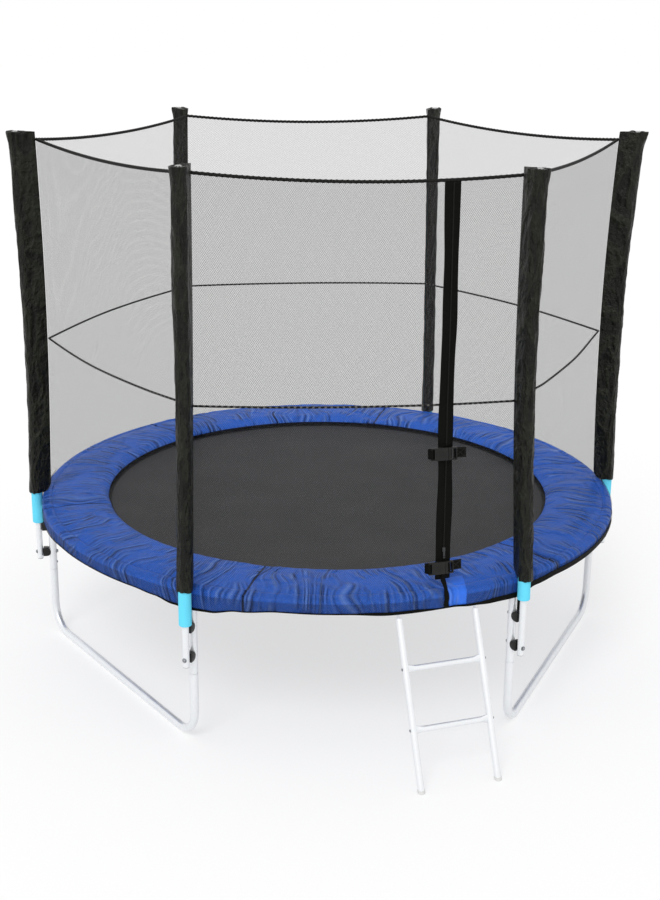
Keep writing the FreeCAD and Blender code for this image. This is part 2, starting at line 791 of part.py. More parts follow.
def net_side(inset):
    """The five lines that shape the net, moved inwards by an inset."""
    return [
        net_level(float(net_top_corner) - inset, float(net_top), 0.0, float(S["net_sag"])),
        net_level(mid_corner() - inset, float(net_mid), float(S["net_bow"])),
        net_level(float(net_waist_corner) - inset, float(net_waist)),
        net_level(float(net_foot) - inset, float(net_knee)),
        net_level(float(net_foot) - inset, float(skirt_bottom)),
    ]


def net_panels():
    """Six panels sewn at the poles, flat at the top edge and round over the pad; the fifth has the door."""
    lines = net_side(0.0) + net_side(float(S["net_cloth"]))[::-1]
    panels = []
    for k in range(STATIONS):
        start = k * CLOTH_STRETCHES
        pieces = [(line + line[:1])[start:start + CLOTH_STRETCHES + 1] for line in lines]
        panels.append(computed(f"net_panel_{k + 1}", strip(pieces)))
    return panels


def cord_loop(name, line, radius):
    """A closed cord along a line of points; its sides lie across the line at each point."""
    loops = []
    count = len(line)
    reach = radius / math.sqrt(math.sin(2 * math.pi / CORD_SIDES) * CORD_SIDES / (2 * math.pi))
    for side in range(CORD_SIDES):
        turn = 2 * math.pi * side / CORD_SIDES
        loop = []
        for i in range(count):
            outwards = Vector(line[i].x, line[i].y, 0).normalize()
            loop.append(line[i] + outwards * (reach * math.cos(turn)) + Vector(0, 0, reach * math.sin(turn)))
        loops.append(loop)
    solid = skin(loops, True)
    length = sum((line[(i + 1) % count] - line[i]).Length for i in range(count))
    share = round(solid.Volume / (math.pi * radius**2 * length), 3)
    print(name, "radius", radius, "length", round(length), "volume against section times length", share)
    return computed(name, solid)


def net_top_cord():
    """Lies on the top edge of the net, inside the sleeves' flat edges."""
    radius = float(S["top_cord_dia"]) / 2
    height = float(net_top) + radius * 1.2 + float(S["net_gap"])
    line = net_level(float(net_top_corner) - radius * 1.2, height, 0.0, float(S["net_sag"]))
    return cord_loop("net_top_cord", line, radius)


def net_mid_cord():
    """Runs round the inside of the net."""
    radius = float(S["mid_cord_dia"]) / 2
    inset = float(S["net_cloth"]) + radius * 1.5 + float(S["net_gap"])
    line = net_level(mid_corner() - inset, float(net_mid), float(S["net_bow"]))
    return cord_loop("net_mid_cord", line, radius)


def hem_limits():
    """Inner and outer radius of the webbing at the foot of the net."""
    inner = float(net_foot) + float(S["net_gap"]) / 2
    return inner, inner + float(S["hem_cloth"])


def net_hem():
    """Webbing band sewn round the foot of the net."""
    inner, outer = hem_limits()
    low = float(skirt_bottom)
    high = low + float(S["hem_height"])
    profile = ((inner, low), (outer, low), (outer, high), (inner, high))
    return computed("net_hem", skin(level_ring(profile), True))


def net_straps():
    """Short straps that hang from the hem, one behind each foam tube."""
    inner, outer = hem_limits()
    half = float(S["strap_width"]) / 2
    top = float(skirt_bottom) - float(S["net_gap"])
    strap = block((inner, outer), (-half, half), (top - float(S["strap_length"]), top))
    master = computed("net_strap", strap)
    return copies("net_straps", master, at_stations(0))


# Door

def door_x(z):
    low, high = float(net_waist), float(net_top)
    share = (z - low) / (high - low)
    return float(S["door_low_x"]) + share * (float(S["door_top_x"]) - float(S["door_low_x"]))


def front_fields(cover):
    """The fields of the net's outside between waist and top, with a cover laid on."""
    top, middle, waist = net_side(-cover)[:3]
    both = fields(top, middle) + fields(middle, waist)
    return [corners for corners in both if max(corner.y for corner in corners) < 0]


def front_point(front, x, z):
    """Where a line along Y at x and z meets the front fields."""
    for first, second, third in front:
        side, rise = second - first, third - first
        spread = side.x * rise.z - rise.x * side.z
        if abs(spread) < 1e-9:
            continue
        share = ((x - first.x) * rise.z - rise.x * (z - first.z)) / spread
        lift = (side.x * (z - first.z) - (x - first.x) * side.z) / spread
        if share >= -1e-9 and lift >= -1e-9 and share + lift <= 1 + 1e-9:
            return first + side * share + rise * lift
    raise ValueError("no front at this place")


def tape_far():
    return float(S["net_gap"]) + float(S["door_cloth"])


def door_zip():
    """Zip tape that follows the outside of the net from the top edge to the waist."""
    outside, inside = net_side(-tape_far())[:3], net_side(-float(S["net_gap"]))[:3]
    layer = skin(outside + inside[::-1], True)
    half = float(S["door_width"]) / 2
    top, low = float(net_top), float(net_waist)
    reach = float(pole_radius)
    corners = [(door_x(top) - half, top), (door_x(top) + half, top)]
    corners += [(door_x(low) + half, low), (door_x(low) - half, low)]
    wedge = face_of([Vector(x, -reach, z) for x, z in corners]).extrude(Vector(0, reach, 0))
    return computed("door_zip", layer.common(wedge))


def front_seat(cover, x, limits_x, limits_z, z):
    """Place just outside the front: +X along the panel, +Y up the door, +Z outwards.

    The limits are the footprint round the place; it stands clear of the bowed front all over it.
    """
    front = front_fields(cover)
    low, high = z + limits_z[0], z + limits_z[1]
    x_low, x_high = x + door_x(low) - door_x(z), x + door_x(high) - door_x(z)
    along = (front_point(front, x + limits_x[1], z) - front_point(front, x + limits_x[0], z)).normalize()
    rise = front_point(front, x_high, high) - front_point(front, x_low, low)
    out = rise.cross(along).normalize()
    if out.y > 0:
        out = out * -1
    up = out.cross(along)
    here = front_point(front, x, z)
    bulge = 0.0
    for i in range(SEAT_SAMPLES + 1):
        share = i / SEAT_SAMPLES
        for j in range(SEAT_SAMPLES + 1):
            side = limits_x[0] + (limits_x[1] - limits_x[0]) * j / SEAT_SAMPLES
            touched = front_point(front, x_low + (x_high - x_low) * share + side, low + (high - low) * share)
            bulge = max(bulge, (touched - here).dot(out))
    turn = Matrix(along.x, up.x, out.x, 0, along.y, up.y, out.y, 0, along.z, up.z, out.z, 0, 0, 0, 0, 1)
    return Placement(here + out * (bulge + float(S["net_gap"])), Placement(turn).Rotation)


def zip_slider():
    """Slider body with its pull tab hanging down; it runs up the tape below the upper buckle."""
    height, width = float(S["slider_height"]), float(S["slider_width"])
    thick = width * 0.4
    tab = thick * 0.35
    body = block((-width / 2, width / 2), (0, height), (0, thick))
    hang = float(S["pull_length"])
    pull = block((-width / 3, width / 3), (-hang, tab), (thick - tab, thick))
    eye = block((-width / 8, width / 8), (-hang * 0.85, -hang * 0.65), (0, thick))
    shape = body.fuse(pull.cut(eye))
    z = float(net_waist) + float(S["slider_rise"])
    run = (-hang, float(S["slider_travel"]) + height)
    seat = front_seat(tape_far(), door_x(z), (-width / 2, width / 2), run, z)
    print("zip slider runs along", [round(value, 5) for value in seat.Rotation.multVec(Vector(0, 1, 0))])
    shape.Placement = seat
    return computed("zip_slider", shape)


def buckle_seat(height):
    """On the zip tape, with room below it for the webbing."""
    z = float(height)
    half = float(S["buckle_height"]) / 2
    cover = tape_far() + float(S["webbing_cloth"])
    return front_seat(cover, door_x(z), (-float(S["socket_part"]), float(S["insert_part"])), (-half, half), z)


def buckle_sockets():
    """Sockets of the two side-release buckles, with a mouth for the insert and side windows."""
    socket, tall = float(S["socket_part"]), float(S["buckle_height"])
    thick, wall = float(S["buckle_thick"]), float(S["buckle_wall"])
    half = tall / 2
    shell = block((-socket, 0), (-half, half), (0, thick))
    mouth = block((-socket * 0.72, 0), (wall - half, half - wall), (wall, thick - wall))
    windows = block((-socket * 0.6, -socket * 0.3), (-half, half), (wall * 1.3, thick - wall * 1.3))
    bar_slot = block((-socket * 0.94, -socket * 0.82), (wall * 2 - half, half - wall * 2), (0, thick))
    shape = shell.cut(Part.makeCompound([mouth, windows, bar_slot]))
    master = computed("buckle_socket", shape)
    return copies("buckle_sockets", master, [buckle_seat(height) for height in (buckle_low, buckle_high)])


def buckle_insert(name, height):
    """Insert with a middle guide and two springing prongs inside the socket."""
    socket, insert, tall = (float(S[name]) for name in ("socket_part", "insert_part", "buckle_height"))
    thick, wall = float(S["buckle_thick"]), float(S["buckle_wall"])
    slack = float(S["slip_gap"])
    half = tall / 2
    inside = socket * 0.66
    arm = tall * 0.13
    depth = (wall + slack, thick - wall - slack)
    reach = half - wall - slack
    head = block((slack, insert), (-half, half), (0, thick))
    loop = block((insert * 0.66, insert * 0.88), (wall * 2 - half, half - wall * 2), (0, thick))
    prongs = [block((-inside, slack), (low, low + arm), depth) for low in (-reach, reach - arm)]
    guide = block((-inside * 0.8, slack), (-arm / 2, arm / 2), depth)
    shape = head.cut(loop).multiFuse(prongs + [guide])
    seat = buckle_seat(height)
    print(name, "pulls out along", [round(value, 5) for value in seat.Rotation.multVec(Vector(1, 0, 0))])
    shape.Placement = seat
    return computed(name, shape)


def buckle_webbing():
    """Webbing tabs that sew the buckles to the net, on both sides of the zip."""
    half = float(S["buckle_height"]) * 0.4
    reach = float(S["webbing_reach"]) / 2
    aside = float(S["door_width"]) / 2 + float(S["door_cloth"]) + reach
    tab = block((-reach, reach), (-half, half), (0, float(S["webbing_cloth"])))
    seats = []
    for height in (buckle_low, buckle_high):
        z = float(height)
        for side in (-aside, aside):
            seats.append(front_seat(0.0, door_x(z) + side, (-reach, reach), (-half, half), z))
    return copies("buckle_webbing", computed("buckle_tab", tab), seats)


# Ladder, drawn with +X away from the trampoline and +Y along the rungs

def ladder_hang():
    """Distance and sideways place at which both hooks sit over the middle of the tube.

    The ladder stands before one straight stretch of the ring and hooks over the next one on each side.
    """
    half = float(S["ladder_width"]) / 2
    flat = float(S["frame_radius"]) * rail_flat
    slant, turn = math.radians(STEP / RAIL_STRETCHES), math.radians(float(S["ladder_turn"]))
    near, far = slant + turn, slant - turn
    first, second = flat - half * math.sin(near), flat - half * math.sin(far)
    spread = math.sin(2 * slant)
    distance = (first * math.sin(far) + second * math.sin(near)) / spread
    return distance, (second * math.cos(near) - first * math.cos(far)) / spread


def ladder_place():
    angle = LADDER_STRETCH_COUNT * STEP / RAIL_STRETCHES + float(S["ladder_turn"])
    return turned(angle).multiply(Placement(Vector(0, ladder_hang()[1], 0), Rotation()))


def rail_line(y):
    """Foot and run of a ladder rail."""
    foot = Vector(float(ladder_foot), y, 0)
    return foot, Vector(float(ladder_head), y, float(ladder_top)) - foot


def on_rail(z):
    foot, run = rail_line(0)
    return foot.x + run.x * z / run.z


def ladder_hook(y):
    """Flat strip bent over the frame tube and down into the rail end."""
    centre = Vector(ladder_hang()[0], y, float(S["frame_height"]))
    inner = float(ring_r) + float(S["hook_gap"])
    outer = inner + float(S["hook_strip"])
    tail = math.radians(195)

    def at(radius, angle):
        return centre + Vector(radius * math.cos(angle), 0, radius * math.sin(angle))

    low = float(ladder_top) - float(S["ladder_dia"]) * 1.5
    knee = float(skirt_bottom)
    knee_out, knee_in = Vector(centre.x + outer, y, knee), Vector(centre.x + inner, y, knee)
    foot_out, foot_in = Vector(on_rail(low) + outer - inner, y, low), Vector(on_rail(low), y, low)
    edges = [
        Part.Arc(at(outer, 0), at(outer, tail / 2), at(outer, tail)).toShape(),
        Part.makeLine(at(outer, tail), at(inner, tail)),
        Part.Arc(at(inner, tail), at(inner, tail / 2), at(inner, 0)).toShape(),
        Part.makeLine(at(inner, 0), knee_in),
        Part.makeLine(knee_in, foot_in),
        Part.makeLine(foot_in, foot_out),
        Part.makeLine(foot_out, knee_out),
        Part.makeLine(knee_out, at(outer, 0)),
    ]
    width = float(S["hook_width"])
    hook = Part.Face(Part.Wire(edges)).extrude(Vector(0, width, 0))
    hook.translate(Vector(0, -width / 2, 0))
    return hook


def ladder_rail(name, side):
    """Leaning tube with its hook fixed in the upper end."""
    y = side * float(S["ladder_width"]) / 2
    foot, run = rail_line(y)
    along = Vector(run).normalize()
    sole = float(S["foot_sole"]) / along.z
    tube = peg(S["ladder_dia"] / 2, run.Length - sole, foot + along * sole, along, Vector(0, 1, 0))
    shape = tube.fuse(ladder_hook(y))
    shape.Placement = ladder_place()
    return computed(name, shape)


def ladder_rungs():
    """Step tubes whose flattened ends spread up and down against the rails."""
    half = float(S["ladder_width"]) / 2
    rail_r = float(S["ladder_dia"]) / 2 + float(S["slip_gap"])
    radius, flare, spread = float(S["rung_dia"]) / 2, float(S["rung_flare"]) / 2, float(S["rung_spread"])
    foot, run = rail_line(0)
    along = Vector(run).normalize()
    sideways = Vector(0, 1, 0)
    rails = [peg(rail_r, run.Length, foot + sideways * (side * half), along, sideways) for side in (-1, 1)]
    pieces = []
    for height in (S["rung_low"], S["rung_high"]):
        z = float(height)
        x = on_rail(z)
        tube = peg(radius, 2 * half, Vector(x, -half, z), sideways, UP)
        root = half - spread
        plates = []
        for side in (-1, 1):
            neck = radius * 0.7
            corners = [(half, z - flare), (half, z + flare), (root, z + neck), (root, z - neck)]
            plate = face_of([Vector(x - radius / 2, side * y, height) for y, height in corners])
            plates.append(plate.extrude(Vector(radius, 0, 0)))
        shape = tube.multiFuse(plates).cut(Part.makeCompound(rails))
        solid = max(shape.Solids, key=lambda piece: piece.Volume)
        solid.Placement = ladder_place()
        pieces.append(solid)
    return computed("ladder_rungs", Part.makeCompound(pieces))


def ladder_feet():
    """Rubber soles below the two rails."""
    radius = float(S["ladder_dia"]) / 2 + float(S["slip_gap"])
    height = float(S["foot_sole"]) - float(S["ladder_dia"]) / 2 * 0.46 - float(S["slip_gap"])
    pieces = []
    for side in (-1, 1):
        foot, run = rail_line(side * float(S["ladder_width"]) / 2)
        sole = peg(radius, height, foot, UP, Vector(1, 0, 0))
        sole.Placement = ladder_place().multiply(sole.Placement)
        pieces.append(sole)
    return computed("ladder_feet", Part.makeCompound(pieces))


# Assembly

def build():
    nodes = frame_rails() + leg_bases()
    nodes += net_poles() + [pole_foams()] + pole_sleeves() + [pole_spacers()]
    nodes += [jumping_mat(), mat_rings(), springs(), safety_pad()]
    nodes += net_panels() + [net_top_cord(), net_mid_cord(), net_hem(), net_straps()]
    nodes += [door_zip(), zip_slider(), buckle_sockets(), buckle_webbing()]
    nodes.append(buckle_insert("buckle_insert_low", buckle_low))
    nodes.append(buckle_insert("buckle_insert_high", buckle_high))
    nodes += [ladder_rail("ladder_rail_left", -1), ladder_rail("ladder_rail_right", 1)]
    return nodes + [ladder_rungs(), ladder_feet()]


def check(nodes):
    for item in doc.Objects:
        if any(word in item.State for word in ("Invalid", "Error")):
            raise RuntimeError(f"{item.Label} failed: {item.State}")
    for node in nodes:
        shape = node.Shape
        if shape.isNull() or not shape.isValid() or not shape.Solids:
            raise RuntimeError(f"{node.Label} has no valid solid")


def export(nodes):
    os.makedirs("parts", exist_ok=True)
    for node in nodes:
        node.Shape.exportStep(f"parts/{node.Label}.step")
    print(len(nodes), "sub-parts")


parts = build()
doc.recompute()
check(parts)
export(parts)
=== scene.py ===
import math

import bmesh
import bpy
from mathutils import Matrix, Vector, noise


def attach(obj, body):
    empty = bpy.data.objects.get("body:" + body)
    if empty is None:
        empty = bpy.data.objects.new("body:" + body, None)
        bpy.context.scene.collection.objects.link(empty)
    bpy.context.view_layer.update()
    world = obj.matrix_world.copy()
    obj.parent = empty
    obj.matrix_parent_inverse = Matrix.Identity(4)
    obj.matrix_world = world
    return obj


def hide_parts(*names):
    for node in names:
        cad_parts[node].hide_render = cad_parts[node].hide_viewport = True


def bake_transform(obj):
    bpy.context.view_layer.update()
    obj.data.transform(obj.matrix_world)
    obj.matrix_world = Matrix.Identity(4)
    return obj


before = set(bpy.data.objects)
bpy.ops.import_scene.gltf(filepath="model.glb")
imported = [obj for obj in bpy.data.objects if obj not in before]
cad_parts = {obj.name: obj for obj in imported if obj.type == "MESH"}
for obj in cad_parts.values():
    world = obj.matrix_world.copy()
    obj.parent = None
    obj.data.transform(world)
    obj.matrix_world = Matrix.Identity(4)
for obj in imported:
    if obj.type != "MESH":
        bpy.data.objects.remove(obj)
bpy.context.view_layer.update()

# Sizes in metres, as in the model: origin on the ground in the middle, +Z up, door side at -Y.
STATIONS = 6
STEP = 360 / STATIONS
POSTS = range(1, STATIONS + 1)
ROUND = 28
RING_RADIUS = 1.2
RING_HEIGHT = 0.615
RING_TUBE = 0.017
LEG_TUBE = 0.016
LEG_JOINT = 0.288
BUTT_GAP = 0.0006
LEG_BEND = 0.11
POLE_TUBE = 0.0127
POLE_RADIUS = 1.2552
POLE_STEPS = 16
POLE_LOW = 0.335
POLE_HIGH = 2.146
FOAM_TUBE = 0.024
FOAM_LOW = 0.507
FOAM_LENGTH = 1.565
FOAM_SLIP = 0.06
DOOR_POLE = 6
SLEEVE_LOW = 0.648
SLEEVE_HIGH = 2.164
SLEEVE_ROUND = 0.0264
FLANGE_TIP = 0.036
FLANGE_LOW = 0.061
FLANGE_HIGH = 0.078
SPACER_HEIGHTS = (0.368, 0.487)
MAT_HEIGHT = 0.62
MAT_RADIUS = 1.005
MAT_HEM = 0.961
RING_NOSE = 1.038
SPRING_ROOT = 1.183
PAD_INNER = 0.945
PAD_UNDER = 0.6375
PAD_EDGE = 0.011
PAD_TOP = PAD_UNDER + PAD_EDGE
PAD_CROWN = 0.009
PAD_STITCH = 1.188
PAD_STITCH_DIP = 0.0028
PAD_BULGE = 0.0045
PAD_ROLL = 0.014
SKIRT_IN = 1.2255
SKIRT_OUT = 1.228
SKIRT_LOW = 0.578
SEAM_TURN = 10
PAD_CROWN_ROWS = 26
PAD_ROLL_ROWS = 4
PAD_SKIRT_ROWS = 6
COVER_COLUMNS = 720
COVER_EXCESS = 0.07
COVER_PRESSURE = 4
COVER_FRAMES = 18
COVER_SINK = -0.003
COVER_RISE = 0.0085
COVER_MOVE = 0.011
RING_LENGTH = 2 * math.pi * RING_RADIUS
NET_TOP = 2.13
NET_MID = 1.321
NET_WAIST = 0.69
NET_KNEE = 0.645
NET_TOP_CORNER = 1.1767
NET_WAIST_CORNER = 1.1937
NET_FOOT = 1.2295
NET_SAG = 0.027
NET_BOW = 0.045
TAUT_SIDE = 5
TAUT_BOW = 0.022
DOOR_SIDE = 4
DOOR_TOP_X = 0.338
DOOR_LOW_X = 0.306
DOOR_WIDTH = 0.05
TAPE_EXTRA = 0.006
TAPE_ASIDE = 0.003
ZIP_TEETH = 420
DOOR_GAP = (284.5, 288.7)
DOOR_TAIL = 0.016
DEGREES_PER_RADIAN = 57.3
WEBBING_THICK = 0.0012
BUCKLE_HALF = 0.023
BUCKLE_THICK = 0.015
BUCKLE_WALL = 0.0026
BUCKLES = {
    "low": ((0.307492, -1.152887, 0.735335), (0.97693, 0.21354, 0.0), (-0.03093, 0.14148, 0.98945)),
    "high": ((0.316546, -1.090986, 1.148382), (0.99054, 0.13719, 0.0), (-0.0198, 0.14294, 0.98953)),
}
TABS = (
    ((0.258097, -1.156913, 0.735073), (0.98079, 0.19509, 0.0), (-0.02833, 0.14241, 0.9894)),
    ((0.35616, -1.133256, 0.735045), (0.94693, 0.32144, 0.0), (-0.02877, 0.08476, 0.99599)),
    ((0.267323, -1.093727, 1.148139), (0.98781, 0.15569, 0.0), (-0.0229, 0.1453, 0.98912)),
    ((0.365224, -1.080591, 1.148073), (0.99553, 0.09441, 0.0), (-0.01372, 0.14472, 0.98938)),
)
SLIDER = ((0.308823, -1.145029, 0.766365), (0.99018, 0.1398, 0.0), (-0.02015, 0.1427, 0.98956))
# Lower edge of skirt and net round the object, as angle and height, and how tall the hem shows there.
SKIRT_EDGES = (
    (0, 0.598), (40, 0.589), (100, 0.582), (160, 0.586), (196, 0.588), (206, 0.598), (216, 0.597),
    (228, 0.593), (233, 0.584), (237, 0.567), (240, 0.559), (244, 0.563), (249, 0.582), (256, 0.595),
    (268, 0.593), (275, 0.584), (286, 0.589), (290, 0.581), (294, 0.574), (300, 0.57), (304, 0.594),
    (310, 0.603), (330, 0.604), (360, 0.598),
)
HEM_HEIGHTS = (
    (0, 0.014), (60, 0.01), (180, 0.004), (232, 0.004), (240, 0.01), (250, 0.004), (268, 0.005),
    (273, 0.012), (279, 0.012), (284, 0.005), (290, 0.009), (295, 0.019), (302, 0.022), (330, 0.02),
    (345, 0.015), (360, 0.014),
)
LADDER_TURN = 283
LADDER_ASIDE = 0.01177
LADDER_PIVOT = 1.187755
LADDER_HALF = 0.15
LADDER_FOOT = 1.479
LADDER_HEAD = 1.218
LADDER_TOP = 0.567
LADDER_TUBE = 0.0127
RUNG_TUBE = 0.011
RUNG_HEIGHTS = (0.202, 0.4)
# How a rung's end is flattened: steps outwards, each with its share of the depth and of the height.
RUNG_ENDS = ((0.008, 0.94, 1.06), (0.008, 0.8, 1.2), (0.009, 0.66, 1.42), (0.009, 0.55, 1.66))
HOOK_IN = 0.0188
HOOK_OUT = 0.0208
HOOK_HALF = 0.005
# Radius and height of screws and nuts.
RING_SCREW = (0.0048, 0.003)
LEG_NUT = (0.0068, 0.0055)
POLE_NUT = (0.0068, 0.0045)
LADDER_SCREW = (0.0055, 0.0032)
UP = Vector((0, 0, 1))
# How each pole stands in use: its bow half way up, and how far its top leans, in metres along X, Y and Z.
LEANS = (
    (Vector((-0.016, 0, 0)), Vector((0.022, 0, 0))),
    (Vector((-0.006, 0, 0)), Vector((-0.018, 0, 0))),
    (Vector((0.004, 0, 0)), Vector((0.014, 0, 0))),
    (Vector((0.013, 0, 0)), Vector((-0.006, 0, 0))),
    (Vector((0.006, 0, 0)), Vector((0.012, 0, 0))),
    (Vector((-0.021, 0, 0)), Vector((-0.031, -0.008, -0.01))),
)
LEAN_LOW = 0.66
# How far round from each pole, in degrees, the net bows with it.
LEAN_START = 2
LEAN_REACHES = (30, 30, 30, 30, 13, 13)


# Tools

def shade(*display):
    """A colour read as display values from 0 to 255, made linear."""
    return tuple(((value / 255 + 0.055) / 1.055) ** 2.4 if value > 10 else value / 3294.6
                 for value in display)


def polar(radius, degrees, z=0.0):
    turn = math.radians(degrees)
    return Vector((radius * math.cos(turn), radius * math.sin(turn), z))


def turned(degrees, axis="Z"):
    return Matrix.Rotation(math.radians(degrees), 4, axis)


def outwards_at(point):
    """Level direction from the object's middle to a point."""
    return Vector((point.x, point.y, 0)).normalized()


def mix(first, second, share):
    return first + (second - first) * share


def ease(value, low, high):
    """Rises smoothly from 0 at low to 1 at high."""
    share = min(max((value - low) / (high - low), 0.0), 1.0)
    return share * share * (3 - 2 * share)


def read_off(table, angle):
    """Smooth value between the entries of a table of angle and value."""
    angle %= 360
    for (start, first), (end, second) in zip(table, table[1:]):
        if angle <= end:
            return mix(first, second, ease(angle, start, end))
    return table[-1][1]


def ruffle(*place):
    """Smooth noise between about -1 and 1."""
    return noise.noise(Vector(place)) * 1.6


def leaned(point):
    """Where a point of the net, its poles or its cords stands once the poles bow and lean."""
    if point.z <= LEAN_LOW:
        return point
    rise = (point.z - LEAN_LOW) / (SLEEVE_HIGH - LEAN_LOW)
    around = math.degrees(math.atan2(point.y, point.x)) % 360 / STEP
    first = int(around) % STATIONS
    second, share = (first + 1) % STATIONS, around - int(around)
    shift = LEANS[first][1].lerp(LEANS[second][1], share) * rise ** 2
    for k, near in ((first, share), (second, 1 - share)):
        beside = 1 - ease(near * STEP, LEAN_START, LEAN_REACHES[k])
        shift = shift + LEANS[k][0] * math.sin(math.pi * min(rise, 1.0)) * beside
    return point + shift


def set_piece(name, bm, finish, body, replaced=(), sharp=40, outwards=True, wall=None,
              lean=False):
    """Turns a bmesh into a finished piece that rides on its body.

    A wall turns a band into webbing: it is 1 when the thickness goes outwards, 0 when it goes both ways.
    """
    if lean:
        for vert in bm.verts:
            vert.co = leaned(vert.co)
    if outwards:
        bmesh.ops.recalc_face_normals(bm, faces=bm.faces)
    mesh = bpy.data.meshes.new(name)
    bm.to_mesh(mesh)
    bm.free()
    mesh.materials.append(MATERIAL[finish])
    mesh.shade_smooth()
    mesh.set_sharp_from_angle(angle=math.radians(sharp))
    piece = bpy.data.objects.new(name, mesh)
    bpy.context.scene.collection.objects.link(piece)
    if wall is not None:
        solid = piece.modifiers.new("Solidify", "SOLIDIFY")
        solid.thickness, solid.offset = WEBBING_THICK, wall
    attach(piece, body)
    if replaced:
        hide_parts(*replaced)
    return piece


def edges_of(geometry):
    return [item for item in geometry if isinstance(item, bmesh.types.BMEdge)]


def verts_of(geometry):
    return [item for item in geometry if isinstance(item, bmesh.types.BMVert)]


class Tube:
    """A tube drawn by carrying its end loop along straights and bends."""

    def __init__(self, bm, start, along, radius, sides=24, steady=None):
        self.bm = bm
        along = Vector(along).normalized()
        if steady is None:
            steady = UP if abs(along.z) < 0.9 else Vector((1, 0, 0))
        side = along.cross(steady).normalized()
        turn = Matrix((side, along.cross(side), along)).transposed().to_4x4()
        place = Matrix.Translation(start) @ turn
        made = bmesh.ops.create_circle(bm, segments=sides, radius=radius, matrix=place)
        self.loop = list({edge for vert in made["verts"] for edge in vert.link_edges})
        self.first = self.loop
        self.radius = radius

    def ends(self):
        return list({vert for edge in self.loop for vert in edge.verts})

    def middle(self):
        ends = self.ends()
        return sum((vert.co for vert in ends), Vector()) / len(ends)

    def run(self, vector, radius=None):
        made = bmesh.ops.extrude_edge_only(self.bm, edges=self.loop)["geom"]
        self.loop = edges_of(made)
        bmesh.ops.translate(self.bm, verts=self.ends(), vec=vector)
        return self.to_radius(radius) if radius else self

    def to_radius(self, radius):
        centre = self.middle()
        share = radius / self.radius
        bmesh.ops.scale(self.bm, verts=self.ends(), vec=(share,) * 3, space=Matrix.Translation(-centre))
        self.radius = radius
        return self

    def bend(self, centre, axis, degrees, steps):
        geometry, angle = self.ends() + self.loop, math.radians(degrees)
        made = bmesh.ops.spin(self.bm, geom=geometry, cent=centre, axis=axis, angle=angle, steps=steps)
        self.loop = edges_of(made["geom_last"])
        return self

    def shut(self):
        """Closes the end that is carried along."""
        bmesh.ops.holes_fill(self.bm, edges=self.loop)

    def foot(self):
        """Closes the end at the start."""
        bmesh.ops.holes_fill(self.bm, edges=self.first)
        return self


def bar(bm, start, end, radius, sides=20, rim=0.0006):
    """A straight round bar with broken edges at both ends."""
    start, end = Vector(start), Vector(end)
    along = (end - start).normalized()
    tube = Tube(bm, start, along, radius - rim, sides).foot()
    tube.run(along * rim, radius).run(end - start - along * 2 * rim).run(along * rim, radius - rim).shut()


def box_at(bm, low, high, place=Matrix(), rounding=0.0, segments=2):
    """A box between two corners, with rounded edges, set at a place."""
    low, high = Vector(low), Vector(high)
    size = Matrix.Diagonal((*(high - low), 1))
    made = bmesh.ops.create_cube(bm, size=1, matrix=Matrix.Translation((low + high) / 2) @ size)
    verts = made["verts"]
    if rounding:
        edges = list({edge for vert in verts for edge in vert.link_edges})
        bent = bmesh.ops.bevel(bm, geom=edges, offset=rounding, segments=segments, profile=0.5,
                               affect="EDGES", material=-1)
        verts = list(set(verts_of(bent["verts"])) | {vert for face in bent["faces"] for vert in face.verts})
    everything = set(verts)
    for vert in verts:
        everything |= {other for face in vert.link_faces for other in face.verts}
    bmesh.ops.transform(bm, matrix=place, verts=list(everything))


def cloth(bm, columns, rows, place, closed=False, unwrap=None):
    """A grid whose points go where place(across, down) says.

    Both shares, or what unwrap makes of them, are its UV map, and each point keeps its column and row.
    """
    layer = bm.loops.layers.uv.verify()
    column_of = bm.verts.layers.int.get("column") or bm.verts.layers.int.new("column")
    row_of = bm.verts.layers.int.get("row") or bm.verts.layers.int.new("row")
    before = set(bm.verts)
    bmesh.ops.create_grid(bm, x_segments=columns, y_segments=rows, size=0.5)
    fresh = [vert for vert in bm.verts if vert not in before]
    shares = {vert: (vert.co.x + 0.5, vert.co.y + 0.5) for vert in fresh}
    for vert in fresh:
        across, down = shares[vert]
        vert[column_of], vert[row_of] = round(across * columns) % columns, round(down * rows)
        for loop in vert.link_loops:
            loop[layer].uv = unwrap(across, down) if unwrap else (across, down)
    for vert in fresh:
        vert.co = place(*shares[vert])
    if closed:
        bmesh.ops.remove_doubles(bm, verts=fresh, dist=1e-5)


def at_station(k, radius=0.0, z=0.0):
    return turned(STEP * (k - 1)) @ Matrix.Translation((radius, 0, z))


def repeated(bm, source, places):
    """Adds a copy of a mesh at each place."""
    for place in places:
        copy = source.copy()
        copy.transform(place)
        bm.from_mesh(copy)
        bpy.data.meshes.remove(copy)
    bpy.data.meshes.remove(source)


def as_mesh(bm, name="pattern"):
    mesh = bpy.data.meshes.new(name)
    bm.to_mesh(mesh)
    bm.free()
    return mesh


# Section of the pad

